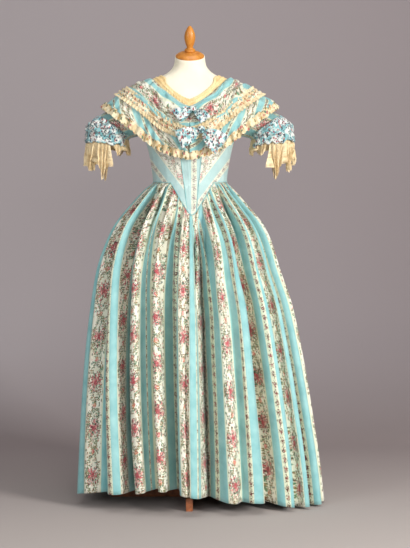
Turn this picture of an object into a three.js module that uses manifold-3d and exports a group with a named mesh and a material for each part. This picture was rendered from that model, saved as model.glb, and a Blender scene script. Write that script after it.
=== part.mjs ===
// A ball gown of about 1850 on a limbless dress form with a wooden cross stand.
// Millimetres, +Z up. The gown faces -Y, so the wearer's left is +X. The stand's pole is the axis that every
// section is measured from; the finished group is moved so that its origin is the middle of its underside.
import * as THREE from 'three';
import { mergeVertices } from 'three/addons/utils/BufferGeometryUtils.js';
import Module from 'manifold-3d';

const wasm = await Module();
wasm.setup();

// ---- Driving dimensions -------------------------------------------------------------------------------
const SILK = 1.2;                 // wall of a silk piece, with its backing
const LACE = 1.0;                 // wall of a lace piece
const SEAM_GAP = 0.4;             // clearance between neighbouring pieces
const FORM_GAP = 0.9;             // clearance between the form and the bodice
const TORSO_STEP = 15;            // degrees between the facets of the torso and the bodice
const WAIST_Z = 1040;             // side waist
const POINT_Z = 918;              // tip of the bodice point
const POINT_X = 8;                // the tip stands a little to the wearer's left
const TIP_ROUND = 10;             // softness of the tip
const POINT_HALF = 68;            // half-width of the front point at the waist
const BACK_DIP = 18;              // how far the back waist dips at the centre
const NECK_FRONT_Z = 1283;        // centre-front neckline
const NECK_BACK_Z = 1328;         // centre-back neckline
const NECK_SHOULDER_Z = 1377;     // neckline on the shoulder
const NECK_HALF = 121;            // half-width of the neckline
const ARMHOLE = { z: 1252, y: 0, half: 50 };
const FORM_FLOOR_Z = 790;         // underside of the torso form
const REPEAT = 156;               // one repeat of the striped silk, across
const REPEATS = 24;               // six widths of four repeats go round the hem
const MIDDLE_REPEAT = 4.6;        // where on the silk the centre front falls
const PLEAT_STEPS = 6;            // facets across one large pleat
const STEEPEST_PLEAT = 1.2;       // radians, the steepest side of a pleat
const PLEAT_EASE = 110;           // drop over which the pleats reach their full depth
const GATHER_FADE = 170;          // drop over which the small gathers merge into the large pleats

const SIDES = [{ name: 'left', x: 1 }, { name: 'right', x: -1 }];

// Half-widths and depths of the torso, one row for each level.
const TORSO = [
  { z: 790, half: 146, front: 100, back: 106 },
  { z: 840, half: 163, front: 116, back: 122 },
  { z: 918, half: 152, front: 118, back: 114 },
  { z: 980, half: 133, front: 108, back: 101 },
  { z: 1040, half: 119.5, front: 99, back: 92 },
  { z: 1090, half: 124, front: 106, back: 96 },
  { z: 1140, half: 133, front: 121, back: 102 },
  { z: 1190, half: 147, front: 136, back: 108 },
  { z: 1240, half: 159, front: 130, back: 112 },
  { z: 1285, half: 165, front: 108, back: 108 },
  { z: 1325, half: 164, front: 82, back: 92 },
  { z: 1355, half: 155, front: 64, back: 68 },
  { z: 1370, half: 136, front: 58, back: 60 },
  { z: 1381, half: 112, front: 57, back: 56 },
  { z: 1393, half: 84, front: 56, back: 53 },
  { z: 1407, half: 65, front: 56, back: 48 },
  { z: 1425, half: 53, front: 55, back: 42 },
  { z: 1475, half: 47, front: 56, back: 38 },
];

// How far the crests of the skirt stand out from the waist seam, for each drop below it. The last column is
// how far forward of the pole the widest line of the skirt lies.
const DOME = [
  { drop: 0, left: 0, right: 0, front: 0, back: 0, wide: 0 },
  { drop: 20, left: 22, right: 26, front: 12, back: 28, wide: 0 },
  { drop: 70, left: 66, right: 73, front: 44, back: 86, wide: 6 },
  { drop: 135, left: 119, right: 126, front: 84, back: 142, wide: 18 },
  { drop: 200, left: 150, right: 158, front: 120, back: 182, wide: 32 },
  { drop: 280, left: 174, right: 184, front: 152, back: 218, wide: 48 },
  { drop: 390, left: 211, right: 201, front: 184, back: 258, wide: 68 },
  { drop: 560, left: 246, right: 219, front: 210, back: 296, wide: 92 },
  { drop: 720, left: 274, right: 230, front: 226, back: 316, wide: 108 },
  { drop: 900, left: 302, right: 238, front: 238, back: 328, wide: 118 },
  { drop: 1035, left: 316, right: 243, front: 242, back: 335, wide: 120 },
];

// Height of the hem above the floor, by the angle round from the centre front towards the wearer's left.
const HEM = [
  { angle: -90, z: 30 }, { angle: -60, z: 52 }, { angle: -30, z: 62 }, { angle: -15, z: 76 },
  { angle: 0, z: 61 }, { angle: 16, z: 40 }, { angle: 30, z: 35 }, { angle: 50, z: 13 },
  { angle: 75, z: 7 }, { angle: 120, z: 7 }, { angle: 180, z: 7 }, { angle: 240, z: 10 },
  { angle: 270, z: 30 },
];

// Crest of each large pleat: its place on the silk, in repeats, and its place round the hem, in degrees.
const CRESTS = [
  { repeat: -0.25, hem: -68.7 }, { repeat: 0.75, hem: -44.5 }, { repeat: 2.05, hem: -27.2 },
  { repeat: 3.12, hem: -14.4 }, { repeat: 4.1, hem: -1.4 }, { repeat: 5.05, hem: 6.5 },
  { repeat: 5.8, hem: 14.7 }, { repeat: 6.85, hem: 30.6 }, { repeat: 7.65, hem: 44.9 },
  { repeat: 8.5, hem: 57.2 }, { repeat: 9.4, hem: 74.5 }, { repeat: 10.5, hem: 91 },
  { repeat: 11.35, hem: 104 }, { repeat: 12.5, hem: 120 }, { repeat: 13.6, hem: 135 },
  { repeat: 14.4, hem: 146 }, { repeat: 15.6, hem: 162 }, { repeat: 16.7, hem: 177 },
  { repeat: 17.6, hem: 190 }, { repeat: 18.8, hem: 207 }, { repeat: 19.9, hem: 223 },
  { repeat: 20.8, hem: 237 }, { repeat: 21.95, hem: 256 }, { repeat: 22.9, hem: 273 },
];
const SKIRT_PANELS = ['skirt_front', 'skirt_side_front_left', 'skirt_side_back_left',
  'skirt_back', 'skirt_side_back_right', 'skirt_side_front_right'];
const PLEATS_PER_PANEL = 4;
const SKIRT_ROWS = [0, 0.025, 0.07, 0.15, 0.27, 0.45, 0.7, 1];

// Lower edge of the bertha by the angle round: its place and how far the cape bulges above a straight line.
const CAPE = [
  { angle: 0, x: 0, y: -152, z: 1112, bulge: 24 },
  { angle: 20, x: 75, y: -141, z: 1132, bulge: 24 },
  { angle: 35, x: 130, y: -126, z: 1162, bulge: 22 },
  { angle: 50, x: 192, y: -112, z: 1212, bulge: 18 },
  { angle: 70, x: 258, y: -84, z: 1260, bulge: 14 },
  { angle: 90, x: 291, y: 0, z: 1286, bulge: 12 },
  { angle: 110, x: 256, y: 80, z: 1262, bulge: 14 },
  { angle: 130, x: 188, y: 112, z: 1218, bulge: 16 },
  { angle: 155, x: 92, y: 132, z: 1172, bulge: 18 },
  { angle: 180, x: 0, y: 142, z: 1160, bulge: 18 },
];
const CAPE_ANGLES = [0, 15, 30, 45, 60, 75, 90, 105, 120, 135, 150, 165, 180];
const DRAPE_ROWS = [0, 0.17, 0.34, 0.47, 0.55];
const BAND_ROWS = [0.47, 0.5515, 0.66];
const FLOUNCE_ROWS = [0.553, 0.66, 0.78, 0.895];
const EDGE_ROWS = [0.898, 0.95, 1];
const BAND_WALL = 3;

// Sections of a sleeve, from the armhole to its hem: centre, lean of the section, half-height and half-depth.
const SLEEVE = [
  { x: 158, z: 1252, lean: 8, high: 58, deep: 58 },
  { x: 200, z: 1244, lean: 20, high: 57, deep: 62 },
  { x: 233, z: 1230, lean: 45, high: 60, deep: 67 },
  { x: 262, z: 1210, lean: 70, high: 70, deep: 72 },
  { x: 270, z: 1190, lean: 82, high: 69, deep: 70 },
];
const SLEEVE_STEPS = 18;
const SLEEVE_ROWS = [0, 1, 1.8, 2.4, 3.2, 4];
const LACE_FALLS = [
  { name: 'outer', from: -98, to: 98, columns: 16, long: 122, short: 82, wave: 5 },
  { name: 'inner', from: 101, to: 259, columns: 12, long: 46, short: 40, wave: 4 },
];

// Bows at the centre front: where the knot sits and how each loop lies.
const BOWS = [
  { name: 'upper', x: 12, w: 0.12, lift: 0.55, knot: 11,
    loops: [{ name: 'right', turn: 214, rise: 0.1, length: 56, width: 48 },
      { name: 'left', turn: 310, rise: 0.05, length: 50, width: 40 }] },
  { name: 'lower', x: 38, w: 0.56, lift: 4.25, knot: 12,
    loops: [{ name: 'right', turn: 206, rise: 0.12, length: 70, width: 60 },
      { name: 'left', turn: 322, rise: 0, length: 72, width: 70 }] },
];

// Stand and cap.
const FOOT = { wide: 22, high: 41, front: 262, back: 262, side: 262 };
const POLE_RADIUS = 15;
const CAP = { z: 1452, y: -9, tilt: 22, radius: 46.5, rim: 5, dome: 13 };
const KNOB = { ring: 18, waist: 10.5, belly: 18, height: 85 };

const FINISHES = {
  silk: { color: 0x8fcfcf, roughness: 0.5 },
  lace: { color: 0xe6cda0, roughness: 0.9 },
  linen: { color: 0xf8f0dc, roughness: 0.8 },
  beech: { color: 0xe09640, roughness: 0.45 },
  walnut: { color: 0x9a5a32, roughness: 0.5 },
};

// ---- Helpers ------------------------------------------------------------------------------------------
const gown = new THREE.Group();
const radians = THREE.MathUtils.degToRad;

function piece(name, geometry, finish) {
  const material = new THREE.MeshStandardMaterial({ ...FINISHES[finish], metalness: 0 });
  const mesh = new THREE.Mesh(geometry, material);
  mesh.name = name;
  gown.add(mesh);
}

// The row of a table at a value of its key column, with straight lines between the rows.
function rowAt(table, key, value) {
  const last = table.length - 1;
  let i = 0;
  while (i < last - 1 && table[i + 1][key] <= value) i += 1;
  const share = THREE.MathUtils.clamp((value - table[i][key]) / (table[i + 1][key] - table[i][key]), 0, 1);
  const row = {};
  for (const column of Object.keys(table[i])) {
    row[column] = THREE.MathUtils.lerp(table[i][column], table[i + 1][column], share);
  }
  return row;
}

// The same with a smooth curve through the rows.
function smoothRowAt(table, key, value) {
  const last = table.length - 1;
  let i = 0;
  while (i < last - 1 && table[i + 1][key] <= value) i += 1;
  const width = table[i + 1][key] - table[i][key];
  const share = THREE.MathUtils.clamp((value - table[i][key]) / width, 0, 1);
  const row = {};
  for (const column of Object.keys(table[i])) {
    const slope = (j) => {
      const before = table[Math.max(j - 1, 0)];
      const after = table[Math.min(j + 1, last)];
      return (after[column] - before[column]) / (after[key] - before[key]);
    };
    const [a, b] = [table[i][column], table[i + 1][column]];
    const [s2, s3] = [share * share, share * share * share];
    row[column] = a * (2 * s3 - 3 * s2 + 1) + b * (3 * s2 - 2 * s3)
      + width * (slope(i) * (s3 - 2 * s2 + share) + slope(i + 1) * (s3 - s2));
  }
  return row;
}

function geometryFrom(points, faces) {
  const geometry = new THREE.BufferGeometry();
  const numbers = points.flatMap((point) => point.toArray());
  geometry.setAttribute('position', new THREE.Float32BufferAttribute(numbers, 3));
  let volume = 0;
  for (const [a, b, c] of faces) {
    volume += points[a].dot(new THREE.Vector3().crossVectors(points[b], points[c]));
  }
  geometry.setIndex((volume > 0 ? faces : faces.map(([a, b, c]) => [a, c, b])).flat());
  return geometry;
}

// Outward direction at each point of a grid of rows, from its neighbours.
function gridNormals(rows, around) {
  const width = rows[0].length;
  return rows.map((row, r) => row.map((_, c) => {
    const above = rows[Math.max(r - 1, 0)][c];
    const below = rows[Math.min(r + 1, rows.length - 1)][c];
    const before = around ? row[(c + width - 1) % width] : row[Math.max(c - 1, 0)];
    const after = around ? row[(c + 1) % width] : row[Math.min(c + 1, width - 1)];
    const down = new THREE.Vector3().subVectors(below, above);
    return down.cross(new THREE.Vector3().subVectors(after, before)).normalize();
  }));
}

// A closed body between two grids of points with the same rows and columns.
function bodyBetween(outer, inner, around) {
  const [height, width] = [outer.length, outer[0].length];
  const points = [...outer.flat(), ...inner.flat()];
  const faces = [];
  const at = (r, c) => r * width + (c % width);
  const under = height * width;
  const quad = (a, b, c, d) => faces.push([a, b, c], [a, c, d]);
  const spans = around ? width : width - 1;
  for (let c = 0; c < spans; c += 1) {
    for (let r = 0; r < height - 1; r += 1) {
      const [a, b, e, d] = [at(r, c), at(r, c + 1), at(r + 1, c + 1), at(r + 1, c)];
      quad(a, d, e, b);
      quad(under + a, under + b, under + e, under + d);
    }
    quad(at(0, c), at(0, c + 1), under + at(0, c + 1), under + at(0, c));
    const [left, right] = [at(height - 1, c), at(height - 1, c + 1)];
    quad(right, left, under + left, under + right);
  }
  if (!around) {
    for (let r = 0; r < height - 1; r += 1) {
      quad(at(r + 1, 0), at(r, 0), under + at(r, 0), under + at(r + 1, 0));
      quad(at(r, spans), at(r + 1, spans), under + at(r + 1, spans), under + at(r, spans));
    }
  }
  return geometryFrom(points, faces);
}

// A wall of even thickness on a grid of points, moved out by `lift`.
function wall(rows, thickness, { around = false, lift = 0 } = {}) {
  const normals = gridNormals(rows, around);
  const moved = (by) => rows.map((row, r) => row.map((p, c) => p.clone().addScaledVector(normals[r][c], by)));
  return bodyBetween(moved(lift + thickness / 2), moved(lift - thickness / 2), around);
}

// A closed body through rings of points, with flat ends.
function loft(rings) {
  const count = rings[0].length;
  const points = rings.flat();
  const faces = [];
  for (let r = 0; r < rings.length - 1; r += 1) {
    for (let c = 0; c < count; c += 1) {
      const [a, b] = [r * count + c, r * count + ((c + 1) % count)];
      faces.push([a, b, b + count], [a, b + count, a + count]);
    }
  }
  for (let c = 1; c < count - 1; c += 1) {
    faces.push([0, c + 1, c]);
    const top = (rings.length - 1) * count;
    faces.push([top, top + c, top + c + 1]);
  }
  return geometryFrom(points, faces);
}

function toManifold(geometry) {
  let bare = geometry.clone();
  for (const name of Object.keys(bare.attributes)) {
    if (name !== 'position') bare.deleteAttribute(name);
  }
  bare = mergeVertices(bare, 1e-4);
  const triVerts = Uint32Array.from(bare.index.array);
  const vertProperties = bare.attributes.position.array;
  return new wasm.Manifold(new wasm.Mesh({ numProp: 3, vertProperties, triVerts }));
}

function toGeometry(solid) {
  const { vertProperties, triVerts } = solid.getMesh();
  const geometry = new THREE.BufferGeometry();
  geometry.setAttribute('position', new THREE.BufferAttribute(vertProperties.slice(), 3));
  geometry.setIndex(Array.from(triVerts));
  return geometry;
}

// A block whose front view is the outline [x, z], from yFrom to yTo.
function block(outline, yFrom, yTo) {
  const shape = new THREE.Shape(outline.map(([x, z]) => new THREE.Vector2(x, z)));
  const geometry = new THREE.ExtrudeGeometry(shape, { depth: yTo - yFrom, bevelEnabled: false });
  geometry.rotateX(Math.PI / 2);
  geometry.translate(0, yTo, 0);
  return toManifold(geometry);
}

// ---- Torso surface and the lines drawn on it ----------------------------------------------------------
function torsoPoint(angle, z, out = 0) {
  const at = (turn, height) => {
    const row = rowAt(TORSO, 'z', height);
    const depth = Math.cos(turn) > 0 ? row.front : row.back;
    return new THREE.Vector3(row.half * Math.sin(turn), -depth * Math.cos(turn), height);
  };
  const nudge = 5;
  const down = at(angle, z - nudge).sub(at(angle, z + nudge));
  const across = at(angle + 0.02, z).sub(at(angle - 0.02, z));
  return at(angle, z).addScaledVector(down.cross(across).normalize(), out);
}

function torsoLoft(out, from, to) {
  const levels = TORSO.map((row) => row.z).filter((z) => z > from && z < to);
  const rings = [from, ...levels, to].map((z) => {
    const ring = [];
    for (let turn = 0; turn < 360; turn += TORSO_STEP) ring.push(torsoPoint(radians(turn), z, out).setZ(z));
    return ring;
  });
  return loft(rings);
}

// Height of the waist seam at a place across the front or the back.
function waistHeight(x, atFront) {
  if (!atFront) return WAIST_Z - BACK_DIP * Math.max(0, 1 - Math.abs(x) / 110);
  const reach = Math.min(1, Math.hypot(x - POINT_X, TIP_ROUND) / Math.hypot(POINT_HALF, TIP_ROUND));
  return POINT_Z + (WAIST_Z - 6 - POINT_Z) * reach ** 1.08 + 6 * Math.min(1, Math.abs(x) / 115);
}

// Height of the neckline at a place across the front or the back.
function neckHeight(x, atFront) {
  const share = Math.min(1, Math.abs(x) / NECK_HALF);
  if (atFront) return NECK_FRONT_Z + (NECK_SHOULDER_Z - NECK_FRONT_Z) * share ** 1.35;
  return NECK_BACK_Z + (NECK_SHOULDER_Z - NECK_BACK_Z) * share ** 1.6;
}

// The height at which a line drawn across the torso meets one angle of it.
function heightOn(line, angle, low, high) {
  let [a, b] = [low, high];
  for (let i = 0; i < 40; i += 1) {
    const z = (a + b) / 2;
    if (z < line(torsoPoint(angle, z).x, Math.cos(angle) > 0)) a = z;
    else b = z;
  }
  return (a + b) / 2;
}
const seamZ = (angle) => heightOn(waistHeight, angle, 880, 1080);
const necklineZ = (angle) => heightOn(neckHeight, angle, 1240, 1380);

// ---- Dress form ---------------------------------------------------------------------------------------
const capTurn = new THREE.Euler(radians(CAP.tilt), 0, 0);
const aboveNeck = toManifold(new THREE.BoxGeometry(300, 300, 200)
  .translate(0, 0, 100).applyQuaternion(new THREE.Quaternion().setFromEuler(capTurn))
  .translate(0, CAP.y, CAP.z - SEAM_GAP));
piece('form_torso', toGeometry(toManifold(torsoLoft(0, FORM_FLOOR_Z, 1475)).subtract(aboveNeck)), 'linen');

function turned(profile, steps) {
  const points = profile.map(([radius, z]) => new THREE.Vector2(radius, z));
  return new THREE.LatheGeometry(points, steps).rotateX(Math.PI / 2);
}
function onCap(geometry) {
  return toGeometry(toManifold(geometry.applyQuaternion(new THREE.Quaternion().setFromEuler(capTurn))
    .translate(0, CAP.y, CAP.z)));
}
const domeTop = CAP.rim + CAP.dome;
piece('form_neck_cap', onCap(turned([[0, 0], [CAP.radius, 0], [CAP.radius + 1, CAP.rim / 2],
  [CAP.radius - 1, CAP.rim], [CAP.radius * 0.78, CAP.rim + CAP.dome * 0.5],
  [CAP.radius * 0.5, CAP.rim + CAP.dome * 0.85], [KNOB.ring, domeTop], [0, domeTop]], 28)), 'beech');
const knobFoot = domeTop + SEAM_GAP;
piece('form_knob', onCap(turned([[0, knobFoot], [KNOB.ring - 1, knobFoot], [KNOB.ring, knobFoot + 4],
  [KNOB.ring - 3, knobFoot + 8], [KNOB.waist, knobFoot + 12], [KNOB.waist + 1, knobFoot + 18],
  [KNOB.belly - 2, knobFoot + 32], [KNOB.belly, knobFoot + 48], [KNOB.belly - 3, knobFoot + 64],
  [KNOB.belly - 9, knobFoot + 77], [0, knobFoot + KNOB.height]], 18)), 'beech');

// ---- Stand --------------------------------------------------------------------------------------------
piece('stand_foot_long', new THREE.BoxGeometry(FOOT.wide, FOOT.front + FOOT.back, FOOT.high)
  .translate(0, (FOOT.back - FOOT.front) / 2, FOOT.high / 2), 'walnut');
for (const side of SIDES) {
  const length = FOOT.side - FOOT.wide / 2 - SEAM_GAP;
  piece(`stand_foot_${side.name}`, new THREE.BoxGeometry(length, FOOT.wide, FOOT.high)
    .translate(side.x * (FOOT.side - length / 2), 0, FOOT.high / 2), 'walnut');
}
const poleLength = FORM_FLOOR_Z - FOOT.high - 2 * SEAM_GAP;
piece('stand_pole', toGeometry(toManifold(new THREE.CylinderGeometry(POLE_RADIUS, POLE_RADIUS, poleLength, 20)
  .rotateX(Math.PI / 2).translate(0, 0, FOOT.high + SEAM_GAP + poleLength / 2))), 'walnut');

// ---- Bodice -------------------------------------------------------------------------------------------
const bodiceShell = toManifold(torsoLoft(FORM_GAP + SILK, 880, 1381))
  .subtract(toManifold(torsoLoft(FORM_GAP, 870, 1393)));

// A line drawn across the front or the back, with a point at each of its corners too.
const LINE_STEPS = 13;
function lineAcross(height, atFront, half, corners = []) {
  const places = [...corners];
  for (let x = -half; x <= half + 0.01; x += half / LINE_STEPS) places.push(x);
  return places.sort((a, b) => a - b).map((x) => [x, height(x, atFront)]);
}
const pointCorners = [POINT_X - POINT_HALF, POINT_X, POINT_X + POINT_HALF];
const FAR = 400;
const halves = [{ atFront: true, from: -FAR, to: 0.01 }, { atFront: false, from: 0, to: FAR }];
const aboveNeckline = halves.map(({ atFront, from, to }) => block([[-NECK_HALF, 1450],
  ...lineAcross(neckHeight, atFront, NECK_HALF), [NECK_HALF, 1450]], from, to));
const belowWaist = halves.map(({ atFront, from, to }) => block([[-FAR, 700], [-FAR, WAIST_Z],
  ...lineAcross(waistHeight, atFront, 180, atFront ? pointCorners : []), [FAR, WAIST_Z], [FAR, 700]],
from, to));
const armholes = toManifold(new THREE.CylinderGeometry(ARMHOLE.half, ARMHOLE.half, 2 * FAR, 20)
  .rotateZ(Math.PI / 2).translate(0, ARMHOLE.y, ARMHOLE.z));
let bodice = bodiceShell.subtract(armholes);
for (const cutter of [...aboveNeckline, ...belowWaist]) bodice = bodice.subtract(cutter);

// Front seams run from the bust to the tip of the point; back seams from the armhole to the waist.
const frontSeam = { top: 62, tip: 8 };
const backSeam = { top: 104, waist: 40 };
const wedge = (gap) => [[-frontSeam.top - gap, 1400], [frontSeam.top + gap, 1400],
  [POINT_X + frontSeam.tip + gap, 890], [POINT_X - frontSeam.tip - gap, 890]];
piece('bodice_front_centre', toGeometry(bodice.intersect(block(wedge(0), -FAR, -1))), 'silk');
const frontRest = bodice.subtract(block(wedge(SEAM_GAP), -FAR, 0));
for (const side of SIDES) {
  const mirrored = (outline) => outline.map(([x, z]) => [side.x * x, z]);
  const half = block(mirrored([[0.2, 850], [0.2, 1450], [FAR, 1450], [FAR, 850]]), -FAR, -0.2);
  piece(`bodice_front_${side.name}`, toGeometry(frontRest.intersect(half)), 'silk');
  const back = block(mirrored([[0.2, 850], [0.2, 1450], [backSeam.top, 1450], [backSeam.top, 1270],
    [backSeam.waist, 1000], [backSeam.waist, 850]]), 0.2, FAR);
  const sideBack = block(mirrored([[backSeam.waist + SEAM_GAP, 850], [backSeam.waist + SEAM_GAP, 1000],
    [backSeam.top + SEAM_GAP, 1270], [backSeam.top + SEAM_GAP, 1450], [FAR, 1450], [FAR, 850]]), 0.2, FAR);
  piece(`bodice_back_${side.name}`, toGeometry(bodice.intersect(back)), 'silk');
  piece(`bodice_side_back_${side.name}`, toGeometry(bodice.intersect(sideBack)), 'silk');
}

// ---- Skirt --------------------------------------------------------------------------------------------
function skirtBase(angle, share) {
  const turn = (THREE.MathUtils.radToDeg(angle) + 450) % 360 - 90;
  const top = seamZ(angle) - 3 * SEAM_GAP;
  const drop = share * (top - smoothRowAt(HEM, 'angle', turn).z);
  const grow = smoothRowAt(DOME, 'drop', drop);
  const point = torsoPoint(angle, top, FORM_GAP + SILK / 2);
  point.x += (Math.sin(angle) > 0 ? grow.left : grow.right) * Math.sin(angle);
  point.y -= (Math.cos(angle) > 0 ? grow.front : grow.back) * Math.cos(angle);
  point.y -= grow.wide * (1 - Math.abs(Math.cos(angle)));
  point.z = top - drop;
  return { point, drop };
}

// Profile of one pleat: how far each facet line goes along the skirt and how deep it lies, when `length` of
// silk has to fit in `span`. Large pleats take over from small gathers as the skirt falls.
function pleatProfile(length, span, drop) {
  const gathers = Math.exp(-drop / GATHER_FADE);
  const turns = (p, count) => Math.sin(2 * Math.PI * count * p);
  const slope = (p, swing) => swing * ((1 - gathers) * turns(p, 1) + gathers * turns(p, 2));
  const samples = 48;
  const reach = (swing) => {
    let sum = 0;
    for (let i = 0; i < samples; i += 1) sum += Math.cos(slope((i + 0.5) / samples, swing));
    return (sum / samples) * length;
  };
  let [low, high] = [0, STEEPEST_PLEAT];
  for (let i = 0; i < 30; i += 1) {
    const middle = (low + high) / 2;
    if (reach(middle) > span) low = middle;
    else high = middle;
  }
  const ease = THREE.MathUtils.smoothstep(drop, 0, PLEAT_EASE);
  const total = reach(low);
  const profile = [{ along: 0, deep: 0 }];
  let [along, deep] = [0, 0];
  for (let i = 0; i < samples; i += 1) {
    const angle = slope((i + 0.5) / samples, low);
    along += (Math.cos(angle) * length / samples) * (span / total);
    deep += Math.sin(angle) * length / samples;
    if ((i + 1) % (samples / PLEAT_STEPS) === 0) profile.push({ along, deep: deep * ease });
  }
  return profile;
}

// One row of the skirt right round: the base curve measured along, with every pleat folded into it.
function skirtRow(share) {
  const steps = 360;
  const line = [];
  for (let i = 0; i <= steps; i += 1) {
    const { point, drop } = skirtBase(radians(CRESTS[0].hem + i * 360 / steps), share);
    const before = line[i - 1];
    const along = before ? before.along + Math.hypot(point.x - before.point.x, point.y - before.point.y) : 0;
    line.push({ point, drop, along });
  }
  const total = line[steps].along;
  const place = (distance) => {
    const wrapped = THREE.MathUtils.euclideanModulo(distance, total);
    let i = 0;
    while (line[i + 1].along < wrapped) i += 1;
    const share2 = (wrapped - line[i].along) / (line[i + 1].along - line[i].along);
    const direction = new THREE.Vector3().subVectors(line[i + 1].point, line[i].point).setZ(0).normalize();
    const point = line[i].point.clone().lerp(line[i + 1].point, share2);
    return { point, drop: line[i].drop, inward: new THREE.Vector3(-direction.y, direction.x, 0) };
  };
  const crestAt = (i) => {
    const turns = Math.floor(i / CRESTS.length);
    const crest = CRESTS[i - turns * CRESTS.length];
    const atWaist = (crest.repeat - MIDDLE_REPEAT) * 360 / REPEATS;
    const angle = THREE.MathUtils.lerp(atWaist, crest.hem, share) - CRESTS[0].hem;
    const distance = rowAt(line.map((entry, j) => ({ angle: j * 360 / steps, along: entry.along })),
      'angle', THREE.MathUtils.euclideanModulo(angle, 360)).along;
    const back = angle < 0 ? total : 0;
    return { distance: distance - back + turns * total, silk: (crest.repeat + turns * REPEATS) * REPEAT };
  };
  const row = [];
  CRESTS.forEach((_, i) => {
    const [crest, next] = [crestAt(i), crestAt(i + 1)];
    const middle = place((crest.distance + next.distance) / 2);
    const profile = pleatProfile(next.silk - crest.silk, next.distance - crest.distance, middle.drop);
    for (let j = 0; j < PLEAT_STEPS; j += 1) {
      const { point, inward } = place(crest.distance + profile[j].along);
      row.push(point.clone().addScaledVector(inward, profile[j].deep));
    }
  });
  return row;
}

const skirtRows = SKIRT_ROWS.map(skirtRow);
const skirtNormals = gridNormals(skirtRows, true);
const columnsPerPanel = PLEATS_PER_PANEL * PLEAT_STEPS;
const firstColumn = PLEAT_STEPS + PLEAT_STEPS / 2;
const columns = CRESTS.length * PLEAT_STEPS;
SKIRT_PANELS.forEach((name, panel) => {
  const grid = (out) => skirtRows.map((row, r) => {
    const points = [];
    for (let c = 0; c <= columnsPerPanel; c += 1) {
      const column = (firstColumn + panel * columnsPerPanel + c) % columns;
      points.push(row[column].clone().addScaledVector(skirtNormals[r][column], out));
    }
    const pull = (edge, neighbour) => {
      const inward = new THREE.Vector3().subVectors(points[neighbour], points[edge]).normalize();
      points[edge].addScaledVector(inward, SEAM_GAP / 2);
    };
    pull(0, 1);
    pull(columnsPerPanel, columnsPerPanel - 1);
    return points;
  });
  piece(name, bodyBetween(grid(SILK / 2), grid(-SILK / 2), false), 'silk');
});

// ---- Neck edging --------------------------------------------------------------------------------------
const EDGING_WIDTH = 25;
const EDGING_LIFT = 1.7;
const edgingRows = [EDGING_WIDTH, EDGING_WIDTH / 2, 2 * SEAM_GAP].map((rise) => {
  const row = [];
  for (let turn = 0; turn < 360; turn += TORSO_STEP) {
    const angle = radians(turn);
    const z = necklineZ(angle);
    const [here, above] = [torsoPoint(angle, z), torsoPoint(angle, z + 4)];
    row.push(torsoPoint(angle, z + rise * 4 / here.distanceTo(above), EDGING_LIFT));
  }
  return row;
});
piece('neck_edging', wall(edgingRows, LACE * 0.8, { around: true }), 'lace');

// ---- Bertha -------------------------------------------------------------------------------------------
const NECK_LIFT = 3.1;
function capePoint(side, degrees, w) {
  const at = (turn, share) => {
    const angle = radians(turn);
    const neck = torsoPoint(angle, necklineZ(angle), NECK_LIFT);
    const edge = smoothRowAt(CAPE, 'angle', turn);
    return neck.lerp(new THREE.Vector3(edge.x, edge.y, edge.z), share);
  };
  const nudge = 1;
  const across = at(Math.min(degrees + nudge, 180), w).sub(at(Math.max(degrees - nudge, 0), w));
  const down = at(degrees, Math.min(w + 0.02, 1)).sub(at(degrees, Math.max(w - 0.02, 0)));
  const out = down.cross(across).normalize();
  if (degrees === 0 || degrees === 180) out.setX(0).normalize();
  const { bulge } = smoothRowAt(CAPE, 'angle', degrees);
  const point = at(degrees, w).addScaledVector(out, 4 * bulge * w * (1 - w));
  const halfGap = 0.3 * Math.abs(Math.cos(radians(degrees)));
  point.x = Math.max(point.x, halfGap) * side.x;
  return point;
}
const capeGrid = (side, shares) => shares.map((w) => {
  const row = CAPE_ANGLES.map((degrees) => capePoint(side, degrees, w));
  return side.x > 0 ? row : row.reverse();
});
for (const side of SIDES) {
  piece(`bertha_drape_${side.name}`, wall(capeGrid(side, DRAPE_ROWS), SILK), 'silk');
  piece(`bertha_band_${side.name}`,
    wall(capeGrid(side, BAND_ROWS), BAND_WALL, { lift: SILK / 2 + SEAM_GAP + BAND_WALL / 2 }), 'lace');
  piece(`bertha_flounce_${side.name}`, wall(capeGrid(side, FLOUNCE_ROWS), SILK), 'silk');
  piece(`bertha_edge_${side.name}`, wall(capeGrid(side, EDGE_ROWS), LACE), 'lace');
}

// ---- Sleeves ------------------------------------------------------------------------------------------
// A point of the sleeve: `row` counts the sections of its table, `turn` goes from the outside (0) by the
// front (90) to the inside (180) and the back (270).
function sleevePoint(side, row, turn) {
  const table = SLEEVE.map((entry, index) => ({ ...entry, index }));
  const section = smoothRowAt(table, 'index', row);
  const lean = radians(section.lean);
  const [up, front] = [section.high * Math.cos(radians(turn)), section.deep * Math.sin(radians(turn))];
  const point = new THREE.Vector3(section.x + up * Math.sin(lean), -front, section.z + up * Math.cos(lean));
  if (row === 0) {
    const torso = rowAt(TORSO, 'z', point.z);
    const depth = point.y < 0 ? torso.front : torso.back;
    point.x = torso.half * Math.sqrt(1 - (point.y / depth) ** 2) + FORM_GAP + SILK * 1.5 + 2 * SEAM_GAP;
  }
  point.x *= side.x;
  return point;
}
function sleeveGrid(side, rows, turns) {
  return rows.map((row) => {
    const line = turns.map((turn) => sleevePoint(side, row, turn));
    return side.x > 0 ? line.reverse() : line;
  });
}
const ringTurns = Array.from({ length: SLEEVE_STEPS }, (_, i) => i * 360 / SLEEVE_STEPS);
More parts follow.
